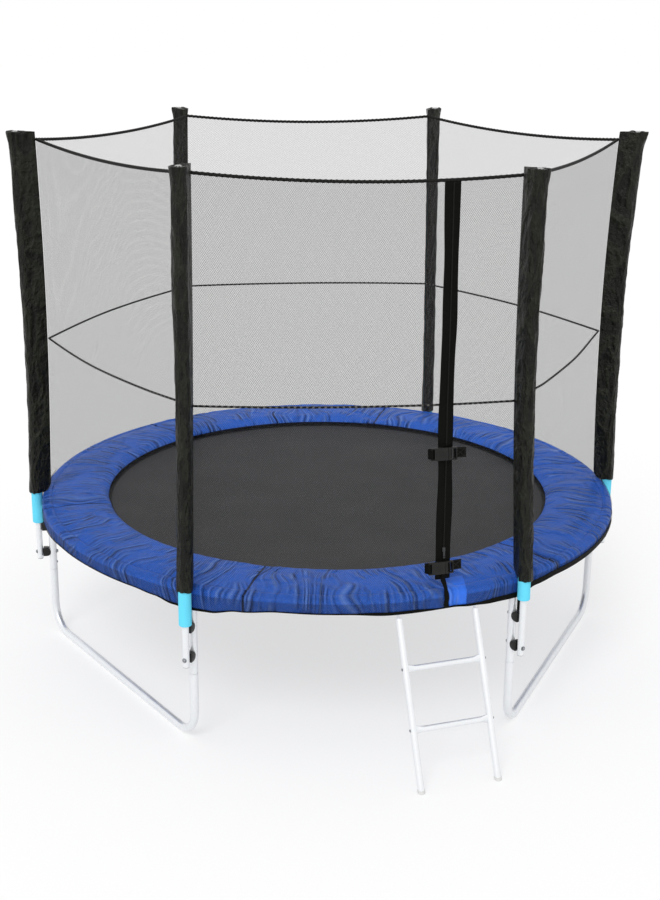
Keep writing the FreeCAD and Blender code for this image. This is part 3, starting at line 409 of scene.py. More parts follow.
def pad_profile():
    """Corners of the pad's section from the inner foot to the skirt, as radius and height."""
    points = [(PAD_INNER + 0.012, PAD_UNDER), (PAD_INNER + 0.003, PAD_UNDER + 0.001),
              (PAD_INNER, PAD_UNDER + 0.005), (PAD_INNER + 0.003, PAD_TOP - 0.001)]
    inner, outer = PAD_STITCH - 0.004, SKIRT_OUT - PAD_ROLL
    for i in range(1, PAD_CROWN_ROWS):
        share = i / PAD_CROWN_ROWS
        crown = PAD_CROWN * math.sin(math.pi * min(share, 0.93)) ** 0.6
        points.append((mix(PAD_INNER + 0.004, inner, share), PAD_TOP + crown))
    points += [(PAD_STITCH - 0.003, PAD_TOP + PAD_BULGE), (PAD_STITCH, PAD_TOP + PAD_STITCH_DIP),
               (PAD_STITCH + 0.003, PAD_TOP + PAD_BULGE)]
    for i in range(1, 4):
        share = i / 3
        z = PAD_TOP + PAD_BULGE * (1 - share ** 2) + 0.001 * math.sin(math.pi * share)
        points.append((mix(PAD_STITCH + 0.003, outer, share), z))
    for i in range(1, PAD_ROLL_ROWS + 1):
        turn = math.radians(90 * i / PAD_ROLL_ROWS)
        points.append((outer + PAD_ROLL * math.sin(turn), PAD_TOP - PAD_ROLL * (1 - math.cos(turn))))
    return points


def runs_along(points):
    """How far along a section each of its corners lies."""
    runs = [0.0]
    for (x, y), (after_x, after_y) in zip(points, points[1:]):
        runs.append(runs[-1] + math.hypot(after_x - x, after_y - y))
    return runs


PAD_RUNS = runs_along(pad_profile())
PAD_STITCH_LINE = PAD_RUNS[PAD_CROWN_ROWS + 4]


# Finishes

class Net:
    """Shorthand for adding and joining shader nodes."""

    def __init__(self, tree):
        self.tree = tree

    def add(self, kind, **values):
        node = self.tree.nodes.new(kind)
        for key, value in values.items():
            if hasattr(node, key):
                setattr(node, key, value)
            else:
                node.inputs[key].default_value = value
        return node

    def join(self, start, end):
        self.tree.links.new(start, end)

    def math(self, operation, first, second=None, clamp=False):
        node = self.add("ShaderNodeMath", operation=operation, use_clamp=clamp)
        for socket, value in zip(node.inputs, (first, second)):
            if value is None:
                continue
            if isinstance(value, (int, float)):
                socket.default_value = value
            else:
                self.join(value, socket)
        return node.outputs[0]

    def split(self, place):
        """The three coordinates of a place."""
        node = self.add("ShaderNodeSeparateXYZ")
        self.join(place, node.inputs[0])
        return node.outputs

    def scaled(self, place, scale):
        """A place stretched by a scale."""
        node = self.add("ShaderNodeMapping")
        node.inputs["Scale"].default_value = scale
        self.join(place, node.inputs["Vector"])
        return node.outputs[0]

    def noise(self, place, **values):
        """A noise texture that reads a place."""
        node = self.add("ShaderNodeTexNoise", **values)
        self.join(place, node.inputs["Vector"])
        return node

    def blend(self, kind, share, first, second):
        """Two colours blended; the share and the second colour may be sockets or values."""
        node = self.add("ShaderNodeMix", data_type="RGBA", blend_type=kind)
        for socket, value in zip((node.inputs[0], node.inputs[6], node.inputs[7]), (share, first, second)):
            if isinstance(value, (int, float, tuple)):
                socket.default_value = value
            else:
                self.join(value, socket)
        return node.outputs[2]

    def shaded(self, color, gain):
        """A colour made lighter or darker by a gain."""
        grey = self.add("ShaderNodeCombineColor")
        for socket in grey.inputs:
            self.join(gain, socket)
        return self.blend("MULTIPLY", 1.0, color, grey.outputs[0])


def effect(name, inputs, outputs):
    """An empty node group with named sockets; gives the group, its maker and its two end nodes."""
    tree = bpy.data.node_groups.new(name, "ShaderNodeTree")
    for label, kind, value in inputs:
        socket = tree.interface.new_socket(label, in_out="INPUT", socket_type=kind)
        if value is not None:
            socket.default_value = value
    for label, kind in outputs:
        tree.interface.new_socket(label, in_out="OUTPUT", socket_type=kind)
    maker = Net(tree)
    return tree, maker, maker.add("NodeGroupInput"), maker.add("NodeGroupOutput")


FLOAT, COLOUR, VECTOR = "NodeSocketFloat", "NodeSocketColor", "NodeSocketVector"


def mottle_effect():
    """Uneven colour: broad patches and fine specks, lighter and darker than the base."""
    tree, n, start, end = effect(
        "mottle",
        [("Color", COLOUR, (0.5, 0.5, 0.5, 1)), ("Place", VECTOR, None), ("Broad", FLOAT, 3.0),
         ("Fine", FLOAT, 120.0), ("Amount", FLOAT, 0.2)],
        [("Color", COLOUR), ("Mask", FLOAT)])
    broad, fine = (n.noise(start.outputs["Place"], Detail=detail) for detail in (4.0, 3.0))
    n.join(start.outputs["Broad"], broad.inputs["Scale"])
    n.join(start.outputs["Fine"], fine.inputs["Scale"])
    both = n.math("ADD", broad.outputs[0], fine.outputs[0])
    around = n.math("MULTIPLY", n.math("SUBTRACT", both, 1.0), start.outputs["Amount"])
    n.join(n.shaded(start.outputs["Color"], n.math("ADD", around, 1.0)), end.inputs["Color"])
    n.join(n.math("MULTIPLY", both, 0.5, True), end.inputs["Mask"])
    return tree


def weave_effect():
    """Threads that cross over and under: the height of the cloth and the dark of its gaps."""
    tree, n, start, end = effect(
        "weave", [("Place", VECTOR, None), ("Threads", FLOAT, 900.0)], [("Height", FLOAT), ("Gap", FLOAT)])
    waves = []
    for reach in n.split(start.outputs["Place"])[:2]:
        along = n.math("MULTIPLY", reach, start.outputs["Threads"])
        waves.append(n.math("MULTIPLY", along, 2 * math.pi))
    warp = n.math("ABSOLUTE", n.math("SINE", n.math("MULTIPLY", waves[0], 0.5)))
    weft = n.math("ABSOLUTE", n.math("SINE", n.math("MULTIPLY", waves[1], 0.5)))
    over = n.math("SINE", n.math("ADD", waves[0], waves[1]))
    height = n.math("ADD", n.math("MAXIMUM", warp, weft), n.math("MULTIPLY", over, 0.25))
    n.join(height, end.inputs["Height"])
    n.join(n.math("SUBTRACT", 1.0, n.math("MULTIPLY", warp, weft)), end.inputs["Gap"])
    return tree


def mesh_effect():
    """Knitted diamonds: the share of the cloth that stops light, on the threads and in the holes."""
    tree, n, start, end = effect(
        "open_mesh",
        [("Place", VECTOR, None), ("Cell", FLOAT, 0.006), ("Thread", FLOAT, 0.2), ("On", FLOAT, 0.8),
         ("Off", FLOAT, 0.1), ("Gather", FLOAT, 0.0)],
        [("Cover", FLOAT)])
    across, down = n.split(start.outputs["Place"])[:2]
    masks = []
    for operation in ("ADD", "SUBTRACT"):
        slant = n.math(operation, across, n.math("MULTIPLY", down, 0.75))
        phase = n.math("FRACT", n.math("DIVIDE", slant, start.outputs["Cell"]))
        masks.append(n.math("LESS_THAN", phase, start.outputs["Thread"]))
    thread = n.math("MAXIMUM", *masks)
    rise = n.math("MULTIPLY", thread, n.math("SUBTRACT", start.outputs["On"], start.outputs["Off"]))
    cover = n.math("ADD", rise, start.outputs["Off"])
    low = n.math("GREATER_THAN", down, start.outputs["Gather"])
    n.join(n.math("ADD", cover, n.math("MULTIPLY", low, 0.16), True), end.inputs["Cover"])
    return tree


def seam_effect():
    """Lines across the cloth, a pitch apart: 1 on a line."""
    tree, n, start, end = effect(
        "seam_lines",
        [("Place", VECTOR, None), ("Pitch", FLOAT, 1.2), ("Shift", FLOAT, 0.0), ("Width", FLOAT, 0.004)],
        [("Mask", FLOAT)])
    across = n.split(start.outputs["Place"])[0]
    turn = n.math("ADD", n.math("DIVIDE", across, start.outputs["Pitch"]), start.outputs["Shift"])
    away = n.math("SUBTRACT", 0.5, n.math("ABSOLUTE", n.math("SUBTRACT", n.math("FRACT", turn), 0.5)))
    wide = n.math("MULTIPLY", start.outputs["Width"], 0.5)
    n.join(n.math("LESS_THAN", n.math("MULTIPLY", away, start.outputs["Pitch"]), wide), end.inputs["Mask"])
    return tree


def stitch_effect():
    """A row of stitches along the cloth at one height of its map: 1 on the thread."""
    tree, n, start, end = effect(
        "stitch_row",
        [("Place", VECTOR, None), ("Line", FLOAT, 0.1), ("Pitch", FLOAT, 0.006), ("Width", FLOAT, 0.0014)],
        [("Mask", FLOAT)])
    across, down = n.split(start.outputs["Place"])[:2]
    away = n.math("ABSOLUTE", n.math("SUBTRACT", down, start.outputs["Line"]))
    near = n.math("LESS_THAN", away, n.math("MULTIPLY", start.outputs["Width"], 0.5))
    dash = n.math("LESS_THAN", n.math("FRACT", n.math("DIVIDE", across, start.outputs["Pitch"])), 0.7)
    n.join(n.math("MULTIPLY", near, dash), end.inputs["Mask"])
    return tree


def crease_effect():
    """Creases of gathered cloth: 1 on the ridge, falling away on both sides."""
    tree, n, start, end = effect(
        "creases", [("Place", VECTOR, None), ("Scale", FLOAT, 10.0), ("Sharp", FLOAT, 4.0)],
        [("Height", FLOAT)])
    broad = n.noise(start.outputs["Place"], Detail=2.0, Distortion=0.6)
    fine = n.noise(start.outputs["Place"], Detail=2.0)
    n.join(start.outputs["Scale"], broad.inputs["Scale"])
    n.join(n.math("MULTIPLY", start.outputs["Scale"], 2.7), fine.inputs["Scale"])
    ridges = []
    for texture in (broad, fine):
        away = n.math("ABSOLUTE", n.math("SUBTRACT", texture.outputs[0], 0.5))
        ridges.append(n.math("SUBTRACT", 1.0, n.math("MULTIPLY", away, start.outputs["Sharp"]), True))
    n.join(n.math("ADD", ridges[0], n.math("MULTIPLY", ridges[1], 0.4)), end.inputs["Height"])
    return tree


def fold_effect():
    """Long folds across a puffed cover: masks for painted shade in the valleys and painted highlights on
    their ridges, and the swelling between as height.
    """
    tree, n, start, end = effect(
        "long_folds",
        [("Place", VECTOR, None), ("Pitch", FLOAT, 0.08), ("Warp", FLOAT, 0.2), ("Width", FLOAT, 0.07)],
        [("Dark", FLOAT), ("Light", FLOAT), ("Height", FLOAT)])
    bend, faint = (n.noise(start.outputs["Place"], Scale=scale, Detail=1.0) for scale in (3.2, 9.0))
    across = n.split(start.outputs["Place"])[0]
    shift = n.math("MULTIPLY", n.math("SUBTRACT", bend.outputs[0], 0.5), start.outputs["Warp"])
    along = n.math("DIVIDE", n.math("ADD", across, shift), start.outputs["Pitch"])
    clear = n.math("MULTIPLY", n.math("SUBTRACT", faint.outputs[0], 0.4), 6.0, True)
    # Dark masks the painted shade in each valley, Light the painted highlight on the ridge beside it.
    for socket, move in (("Dark", 0.0), ("Light", 1.6)):
        cells = n.add("ShaderNodeTexVoronoi", voronoi_dimensions="1D", feature="DISTANCE_TO_EDGE",
                      Scale=1.0)
        n.join(n.math("ADD", along, n.math("MULTIPLY", start.outputs["Width"], move)), cells.inputs["W"])
        away = cells.outputs["Distance"]
        line = n.math("SUBTRACT", 1.0, n.math("DIVIDE", away, start.outputs["Width"]), True)
        n.join(n.math("MULTIPLY", line, clear), end.inputs[socket])
        if not move:
            swelling = n.math("MULTIPLY", away, 2.6, True)
            n.join(n.math("MULTIPLY", swelling, clear), end.inputs["Height"])
    return tree


def rim_effect():
    """1 outside a radius round the object's middle."""
    tree, n, start, end = effect(
        "outer_rim", [("Place", VECTOR, None), ("Radius", FLOAT, 0.9)], [("Mask", FLOAT)])
    flat = n.add("ShaderNodeVectorMath", operation="MULTIPLY")
    flat.inputs[1].default_value = (1, 1, 0)
    n.join(start.outputs["Place"], flat.inputs[0])
    reach = n.add("ShaderNodeVectorMath", operation="LENGTH")
    n.join(flat.outputs[0], reach.inputs[0])
    n.join(n.math("GREATER_THAN", reach.outputs["Value"], start.outputs["Radius"]), end.inputs["Mask"])
    return tree


MOTTLE, WEAVE, OPEN_MESH = mottle_effect(), weave_effect(), mesh_effect()
SEAM, STITCH, CREASE = seam_effect(), stitch_effect(), crease_effect()
RIM, FOLD = rim_effect(), fold_effect()


class Finish:
    """A material with one Principled shader, whose colour, roughness and bump come from the effects."""

    def __init__(self, name, color, roughness, sockets):
        self.material = bpy.data.materials.new(name)
        self.material.use_nodes = True
        self.n = Net(self.material.node_tree)
        self.shader = self.material.node_tree.nodes["Principled BSDF"]
        for key, value in sockets.items():
            self.shader.inputs[key].default_value = value
        self.shader.inputs["Base Color"].default_value = (*color, 1)
        self.shader.inputs["Roughness"].default_value = roughness
        self.color, self.roughness = (*color, 1), roughness
        self.coord = self.n.add("ShaderNodeTexCoord")
        self.place = self.coord.outputs["Object"]
        self.height = None

    def on_uv(self, width, length):
        """Reads the piece's own UV map, stretched to metres."""
        self.place = self.n.scaled(self.coord.outputs["UV"], (width, length, 1))
        return self

    def group(self, tree, stretch=None, **values):
        """An effect with its own values, at the piece's place or at that place stretched by a scale."""
        node = self.n.add("ShaderNodeGroup", node_tree=tree)
        self.n.join(self.n.scaled(self.place, stretch) if stretch else self.place, node.inputs["Place"])
        for key, value in values.items():
            node.inputs[key].default_value = value
        return node.outputs

    def tinted(self, color):
        self.tint = color
        self.n.join(color, self.shader.inputs["Base Color"])
        return self

    def mottled(self, amount, broad=3.0, fine=120.0, rough=0.1):
        """Uneven colour and roughness."""
        effect_out = self.group(MOTTLE, Amount=amount, Broad=broad, Fine=fine, Color=self.color)
        change = self.n.math("MULTIPLY", self.n.math("SUBTRACT", effect_out["Mask"], 0.5), rough)
        self.n.join(self.n.math("ADD", change, self.roughness, True), self.shader.inputs["Roughness"])
        return self.tinted(effect_out["Color"])

    def darkened(self, mask, amount):
        """Darker where the mask is 1, or lighter with a negative amount."""
        gain = self.n.math("SUBTRACT", 1.0, self.n.math("MULTIPLY", mask, amount))
        return self.tinted(self.n.shaded(self.tint, gain))

    def faded(self, mask, amount, color):
        """Mixed with a colour where the mask is 1."""
        share = self.n.math("MULTIPLY", mask, amount)
        return self.tinted(self.n.blend("MIX", share, self.tint, (*color, 1)))

    def raised(self, height, distance):
        """Adds a layer of bump over the last one."""
        bump = self.n.add("ShaderNodeBump", Distance=distance, Strength=1.0)
        self.n.join(height, bump.inputs["Height"])
        if self.height is not None:
            self.n.join(self.height, bump.inputs["Normal"])
        self.height = bump.outputs["Normal"]
        self.n.join(self.height, self.shader.inputs["Normal"])
        return self

    def noisy(self, scale, distance, detail=4.0):
        """Fine grain in the surface."""
        return self.raised(self.n.noise(self.place, Scale=scale, Detail=detail).outputs[0], distance)


# Plain finishes: key, name, display colour, roughness, what else the shader gets,
# how it is mottled (amount, broad, fine, roughness) and its grain (scale, depth, detail).
PLAIN_FINISHES = (
    ("steel", "galvanised_tube", (236, 238, 240), 0.36, {"Metallic": 0.55},
     (0.08, 9.0, 220.0, 0.12), (900.0, 0.00002)),
    ("wire", "zinc_wire", (176, 178, 182), 0.3, {"Metallic": 1.0},
     (0.15, 20.0, 400.0, 0.15), (1500.0, 0.00002)),
    ("slider", "slider_zinc", (74, 75, 76), 0.35, {"Metallic": 1.0},
     (0.2, 40.0, 700.0, 0.2), (2500.0, 0.00002)),
    ("bolt", "bolt_steel", (150, 152, 156), 0.35, {"Metallic": 1.0},
     (0.2, 40.0, 700.0, 0.2), (2500.0, 0.00003)),
    ("foam", "foam_blue", (104, 216, 244), 0.75, {"Specular IOR Level": 0.2},
     (0.12, 12.0, 500.0, 0.1), (600.0, 0.0003, 5.0)),
    ("plastic", "black_plastic", (17, 17, 15), 0.35, {"Specular IOR Level": 0.3},
     (0.9, 30.0, 160.0, 0.2), (1600.0, 0.00004)),
    ("cap", "grey_cap", (168, 170, 168), 0.5, {},
     (0.1, 30.0, 400.0, 0.15), (1200.0, 0.00004)),
    ("foot", "foot_plastic", (214, 214, 212), 0.55, {},
     (0.1, 30.0, 400.0, 0.15), (700.0, 0.00005)),
    ("thread", "sewing_thread", (58, 58, 54), 0.6, {},
     (0.2, 60.0, 900.0, 0.1), (2500.0, 0.0001)),
)
# Folds of the pad's cover: pitch, warp, width, how dark the painted shade in the valleys and how light the
# painted highlight on the ridges is, depth.
PAD_FOLDS = ((0.066, 0.28, 0.12, 0.62, 0.55, 0.01), (0.033, 0.3, 0.16, 0.36, 0.3, 0.004))


def sleeve_finish():
    """Coated black cloth, with a painted highlight: its colour is lighter along the crease ridges, where it
    would gleam.
    """
    sleeve = Finish("sleeve_cloth", shade(11, 12, 7), 0.36, {"Specular IOR Level": 0.2})
    sleeve.on_uv(0.24, 1.516).mottled(0.35, 8.0, 260.0, 0.2)
    crease_and_painted_gleam = sleeve.group(CREASE, (1.0, 0.4, 1.0), Scale=14.0, Sharp=9.0)["Height"]
    # Painted highlight: the crease ridges are lightened in the base colour; the same crease mask also gives
    # their bump.
    sleeve.darkened(crease_and_painted_gleam, -2.6).raised(crease_and_painted_gleam, 0.005)
    sleeve.raised(sleeve.group(CREASE, (1.0, 0.5, 1.0), Scale=15.0, Sharp=4.0)["Height"], 0.006)
    sleeve.raised(sleeve.group(CREASE, Scale=48.0, Sharp=4.0)["Height"], 0.002)
    return sleeve.raised(sleeve.group(WEAVE, Threads=1400.0)["Height"], 0.00012)


def pad_finish():
    """Coated royal blue cover, with folds, painted shade in their valleys and painted highlights on their
    ridges, dark seams between the panels and a row of stitches.
    """
    pad = Finish("pad_cover", shade(50, 110, 222), 0.4, {"Specular IOR Level": 0.18})
    pad.on_uv(1.0, 1.0).mottled(0.3, 4.0, 60.0, 0.18)
    for pitch, warp, width, dark, light, depth in PAD_FOLDS:
        fold_shading = pad.group(FOLD, Pitch=pitch, Warp=warp, Width=width)
        # Painted shade darkens each fold's valley and a painted highlight, pale blue, lightens its ridges.
        pad.darkened(fold_shading["Dark"], dark).faded(fold_shading["Light"], light, shade(134, 172, 246))
        pad.raised(fold_shading["Height"], depth)
    seams = pad.group(SEAM, Pitch=RING_LENGTH / STATIONS, Shift=-SEAM_TURN / STEP, Width=0.009)["Mask"]
    pad.darkened(seams, 0.85).darkened(pad.group(STITCH, Line=PAD_STITCH_LINE)["Mask"], 0.7)
    pad.raised(pad.group(CREASE, (1.0, 0.4, 1.0), Scale=24.0, Sharp=4.0)["Height"], 0.0022)
    return pad.noisy(160.0, 0.0002, 3.0)


def mat_finish():
    """Dark woven mat, darker from a little inside the pad's inner edge outwards: its black hem, and painted
    shade along the pad's inner edge.
    """
    mat = Finish("mat_weave", shade(74, 74, 75), 0.6, {"Specular IOR Level": 0.25})
    mat.mottled(0.8, 5.0, 90.0, 0.2)
    # Darker outside a radius 26 mm inside the hem: the hem's own black, and painted shade on the band of
    # mat just inside the pad's edge.
    mat.darkened(mat.group(RIM, Radius=MAT_HEM - 0.026)["Mask"], 0.85)
    weave = mat.group(WEAVE, Threads=420.0)
    return mat.darkened(weave["Gap"], 0.35).raised(weave["Height"], 0.0003)


def webbing_finish():
    """Woven black webbing with soft creases."""
    webbing = Finish("black_webbing", shade(8, 9, 5), 0.6, {"Specular IOR Level": 0.08})
    webbing.mottled(0.5, 12.0, 150.0, 0.1)
    webbing.raised(webbing.group(CREASE, Scale=26.0, Sharp=5.0)["Height"], 0.0014)
    rib = webbing.group(WEAVE, Threads=700.0)
    return webbing.darkened(rib["Gap"], 0.3).raised(rib["Height"], 0.0002)


def cord_finish(name, color, pitch, width, lighter):
    """Black cord, lighter in a narrow band at every pitch."""
    cord = Finish(name, color, 0.6, {"Specular IOR Level": 0.15}).on_uv(7.2, 0.02)
    cord.mottled(0.25, 12.0, 300.0, 0.1)
    return cord.darkened(cord.group(SEAM, Pitch=pitch, Width=width)["Mask"], -lighter)


def net_finish():
    """Knitted net, see-through between its threads, gathered at the pad."""
    net = Finish("net_mesh", shade(46, 46, 47), 0.9, {"Specular IOR Level": 0.0}).on_uv(7.1, 1.6)
    net.mottled(0.1, 2.0, 60.0, 0.05)
    cover = net.group(OPEN_MESH, Cell=0.0075, Thread=0.2, On=0.52, Off=0.165, Gather=1.53)["Cover"]
    net.n.join(cover, net.shader.inputs["Alpha"])
    return net


def finishes():
    made = {}
    for key, name, color, roughness, sockets, mottling, grain in PLAIN_FINISHES:
        made[key] = Finish(name, shade(*color), roughness, sockets).mottled(*mottling).noisy(*grain)
    made.update({
        "sleeve": sleeve_finish(), "pad": pad_finish(), "mat": mat_finish(), "webbing": webbing_finish(),
        "cord": cord_finish("braided_cord", shade(14, 14, 12), 0.012, 0.004, 1.5),
        "lacing": cord_finish("laced_cord", shade(18, 18, 17), 0.022, 0.008, 18.0), "net": net_finish(),
    })
    return {key: finish.material for key, finish in made.items()}


MATERIAL = finishes()


# Frame ring and legs

def frame_rails():
    """Bent rails, end to end round the ring, each with a welded stub for a leg."""
    gap = math.degrees(BUTT_GAP / RING_RADIUS)
    for k in POSTS:
        bm = bmesh.new()
        middle = STEP * (k - 1)
        start = middle - STEP / 2 + gap / 2
        along, rim = start + 90, 0.0006
        tube = Tube(bm, polar(RING_RADIUS, start, RING_HEIGHT), polar(1, along), RING_TUBE - rim, ROUND)
        tube.foot().run(polar(rim, along), RING_TUBE)
        tube.bend((0, 0, 0), UP, STEP - gap - 0.06, 40).run((0, 0, 0), RING_TUBE - rim).shut()
        top = polar(RING_RADIUS, middle, RING_HEIGHT - RING_TUBE * 0.6)
        low = polar(RING_RADIUS, middle, LEG_JOINT)
        stub = Tube(bm, low, UP, LEG_TUBE - 0.0005, ROUND).foot().run(UP * 0.0005, LEG_TUBE)
        stub.run(top - low - UP * 0.0133).run(UP * 0.006, LEG_TUBE + 0.0022)
        stub.run(UP * 0.0068, LEG_TUBE + 0.005).shut()
        set_piece(f"ring_rail_{k}", bm, "steel", "frame", [f"frame_rail_{k}"])


def leg_bases():
    """U-shaped tubes, two uprights and a length on the ground."""
    half = RING_RADIUS * math.sin(math.radians(STEP / 2))
    back = -RING_RADIUS * math.cos(math.radians(STEP / 2))
    top = LEG_JOINT - BUTT_GAP
    for k in range(1, STATIONS // 2 + 1):
        bm = bmesh.new()
        tube = Tube(bm, (-half, back, top), (0, 0, -1), LEG_TUBE, ROUND).foot()
        tube.run((0, 0, LEG_TUBE + LEG_BEND - top))
        tube.bend((-half + LEG_BEND, back, LEG_TUBE + LEG_BEND), (0, -1, 0), 90, 12)
        tube.run((2 * (half - LEG_BEND), 0, 0))
        tube.bend((half - LEG_BEND, back, LEG_TUBE + LEG_BEND), (0, -1, 0), 90, 12)
        tube.run((0, 0, top - LEG_TUBE - LEG_BEND)).shut()
        bmesh.ops.transform(bm, matrix=turned(90 + STEP * (2 * k - 0.5)), verts=bm.verts)
        set_piece(f"ground_leg_{k}", bm, "steel", "frame", [f"leg_base_{k}"])


def screw_head(bm, place, radius, height):
    """A domed head, its base at the place and its top along +X."""
    along = (place.to_3x3() @ Vector((1, 0, 0))).normalized()
    head = Tube(bm, place @ Vector(), along, radius, 16).foot().run(along * height * 0.5)
    head.run(along * height * 0.35, radius * 0.75).run(along * height * 0.15, radius * 0.4).shut()


def hex_head(bm, place, radius, height):
    """A nut on its washer, along +X."""
    along, washer = (place.to_3x3() @ Vector((1, 0, 0))).normalized(), 0.0012
    Tube(bm, place @ Vector(), along, radius * 1.35, 20).foot().run(along * washer).shut()
    nut = Tube(bm, place @ Vector((washer, 0, 0)), along, radius, 6).foot().run(along * height * 0.8)
    nut.run(along * height * 0.2, radius * 0.85).shut()


def frame_fasteners():
    """Self-tapping screws at the ring and leg joints, and bolts through legs, spacers and poles."""
    bm = bmesh.new()
    reach, sunk = 0.03, 0.0004
    joint, inwards = math.degrees(reach / RING_RADIUS), turned(180)
    for k in POSTS:
        angle = STEP * (k - 1) - STEP / 2 + joint
        below = Matrix.Translation(polar(RING_RADIUS, angle, RING_HEIGHT - RING_TUBE))
        screw_head(bm, below @ turned(90, "Y"), *RING_SCREW)
        screw_head(bm, at_station(k, RING_RADIUS - LEG_TUBE, LEG_JOINT + reach) @ inwards, *RING_SCREW)
        for z in SPACER_HEIGHTS:
            hex_head(bm, at_station(k, RING_RADIUS - LEG_TUBE + sunk, z) @ inwards, *LEG_NUT)
            if z < FOAM_LOW - 0.03:
                hex_head(bm, at_station(k, POLE_RADIUS + POLE_TUBE - sunk, z), *POLE_NUT)
    set_piece("frame_bolts", bm, "bolt", "frame", sharp=30)


# Poles

def net_poles():
    """Poles, straight up to the pad and bowed above it, with a cap at each end."""
    cap_edge = 0.004
    for k in POSTS:
        bm = bmesh.new()
        foot = polar(POLE_RADIUS, STEP * (k - 1), POLE_LOW + cap_edge)
        tube = Tube(bm, foot, UP, POLE_TUBE, ROUND).foot().run((0, 0, LEAN_LOW - POLE_LOW - cap_edge))
        for _ in range(POLE_STEPS):
            tube.run((0, 0, (POLE_HIGH - LEAN_LOW) / POLE_STEPS))
        tube.shut()
        set_piece(f"pole_tube_{k}", bm, "steel", "frame", [f"net_pole_{k}"], lean=True)
    bm = bmesh.new()
    for k in POSTS:
        centre = polar(POLE_RADIUS, STEP * (k - 1))
        plug = Tube(bm, centre + UP * POLE_LOW, UP, POLE_TUBE * 0.72, 24).foot()
        plug.run((0, 0, 0.0016), POLE_TUBE * 0.96).run((0, 0, 0.0026)).shut()
        cap = Tube(bm, centre + UP * (POLE_HIGH - cap_edge), UP, POLE_TUBE + 0.0014, 24).foot()
        cap.run((0, 0, 0.019)).run((0, 0, 0.004), POLE_TUBE * 0.9)
        cap.run((0, 0, 0.002), POLE_TUBE * 0.5).shut()
    set_piece("pole_caps", bm, "cap", "frame", lean=True)


def pole_foams():
    """Foam tubes with a cut end, the one beside the door pushed up its pole."""
    bm, rim = bmesh.new(), 0.002
    for k in POSTS:
        lift = FOAM_SLIP if k == DOOR_POLE else 0.0
        foot = polar(POLE_RADIUS, STEP * (k - 1), FOAM_LOW + lift)
        foam = Tube(bm, foot + UP * 0.02, (0, 0, -1), POLE_TUBE + 0.0005, 32)
        foam.run((0, 0, -0.018)).run((0, 0, -rim), POLE_TUBE + rim).run((0, 0, 0), FOAM_TUBE - rim)
        foam.run((0, 0, rim), FOAM_TUBE).run((0, 0, 0.16))
        for _ in range(POLE_STEPS):
            foam.run((0, 0, (FOAM_LENGTH - 0.164) / POLE_STEPS))
        foam.run((0, 0, rim), FOAM_TUBE - rim).run((0, 0, 0), POLE_TUBE + 0.0005)
    piece = set_piece("foam_tubes", bm, "foam", "frame", ["pole_foams"], lean=True)


def flange_reach(z):
    """How far the sleeve's flat edge reaches from the pole's middle."""
    reach = mix(FLANGE_LOW, FLANGE_HIGH, (z - NET_WAIST) / (NET_TOP - NET_WAIST))
    return mix(FLANGE_TIP, reach, ease(z, SLEEVE_LOW - 0.02, NET_WAIST - 0.006))


def sleeve_point(across, down, seed):
    """Point of a sleeve: across goes round from the flat edge's tip, down goes from the top.

    Long folds, sharp creases and small wrinkles move it outwards; both ends are frayed.
    """
    z = mix(SLEEVE_HIGH, SLEEVE_LOW, down)
    ragged = ease(z, SLEEVE_HIGH - 0.06, SLEEVE_HIGH)
    frayed = ease(z, SLEEVE_LOW + 0.05, SLEEVE_LOW)
    radius = SLEEVE_ROUND + 0.004 * ragged + 0.0015 * frayed
    reach = flange_reach(min(z, NET_TOP))
    side = 1 if across < 0.5 else -1
    share = across * 2 if across < 0.5 else (1 - across) * 2
    tangent, flat_part, clear = 100, 0.42, FOAM_TUBE + 0.0013
    if share < flat_part:
        start, end = Vector((-reach, 0.0022 * side, 0)), polar(radius, tangent * side)
        point = start.lerp(end, share / flat_part)
        outward = Vector((-0.3, side, 0)).normalized()
    else:
        angle = tangent * (1 - (share - flat_part) / (1 - flat_part)) * side
        point = polar(radius, angle)
        outward = polar(1, angle)
    slack = min(share / 0.2, 1.0)
    long_fold = ruffle(across * 4 + seed, z * 2.4 + across * 3 * side, seed) * 0.003
    crease = max(1 - abs(ruffle(across * 7 + z * 2.5, z * 6 + seed * 3, seed + 7)) * 3, 0.0) * 0.0028
    small = ruffle(across * 15, z * 24 + seed * 5, seed + 3) * 0.001
    sway = Vector((0, ruffle(seed, z * 1.3, 3.0) * 0.0012, 0))
    point += outward * (long_fold + crease + small + 0.0006) * slack * (1 + ragged * 0.8) + sway
    away = math.hypot(point.x, point.y)
    if away < clear:
        point *= clear / away
    upper_edge = ruffle(across * 9, seed, 1.0) * 0.004 * ragged ** 3
    lower_edge = abs(ruffle(across * 8, seed, 6.0)) * 0.006 * frayed ** 3
    return Vector((point.x, point.y, z + (upper_edge - lower_edge)))


def pole_sleeves():
    """Cloth sleeves sewn to the net, loose over foam and pole, gathered round the cap at the top."""
    for k in POSTS:
        bm = bmesh.new()
        cloth(bm, 60, 190, lambda across, down: sleeve_point(across, down, k * 3.7), closed=True)
        ring = [edge for edge in bm.edges if edge.is_boundary and edge.verts[0].co.z > 2]
        for share, drop in ((0.8, -0.001), (0.62, 0.003), (0.56, 0.012)):
            ring = edges_of(bmesh.ops.extrude_edge_only(bm, edges=ring)["geom"])
            for vert in {vert for edge in ring for vert in edge.verts}:
                angle, reach = math.atan2(vert.co.y, vert.co.x), SLEEVE_ROUND * share
                pleat = 0.0016 * math.sin(angle * 13 + k)
                place = (math.cos(angle) * reach, math.sin(angle) * reach, SLEEVE_HIGH - drop + pleat)
                vert.co = Vector(place)
        bmesh.ops.transform(bm, matrix=at_station(k, POLE_RADIUS), verts=bm.verts)
        piece = set_piece(f"sleeve_{k}", bm, "sleeve", "frame", [f"pole_sleeve_{k}"],
                          sharp=60, lean=True)


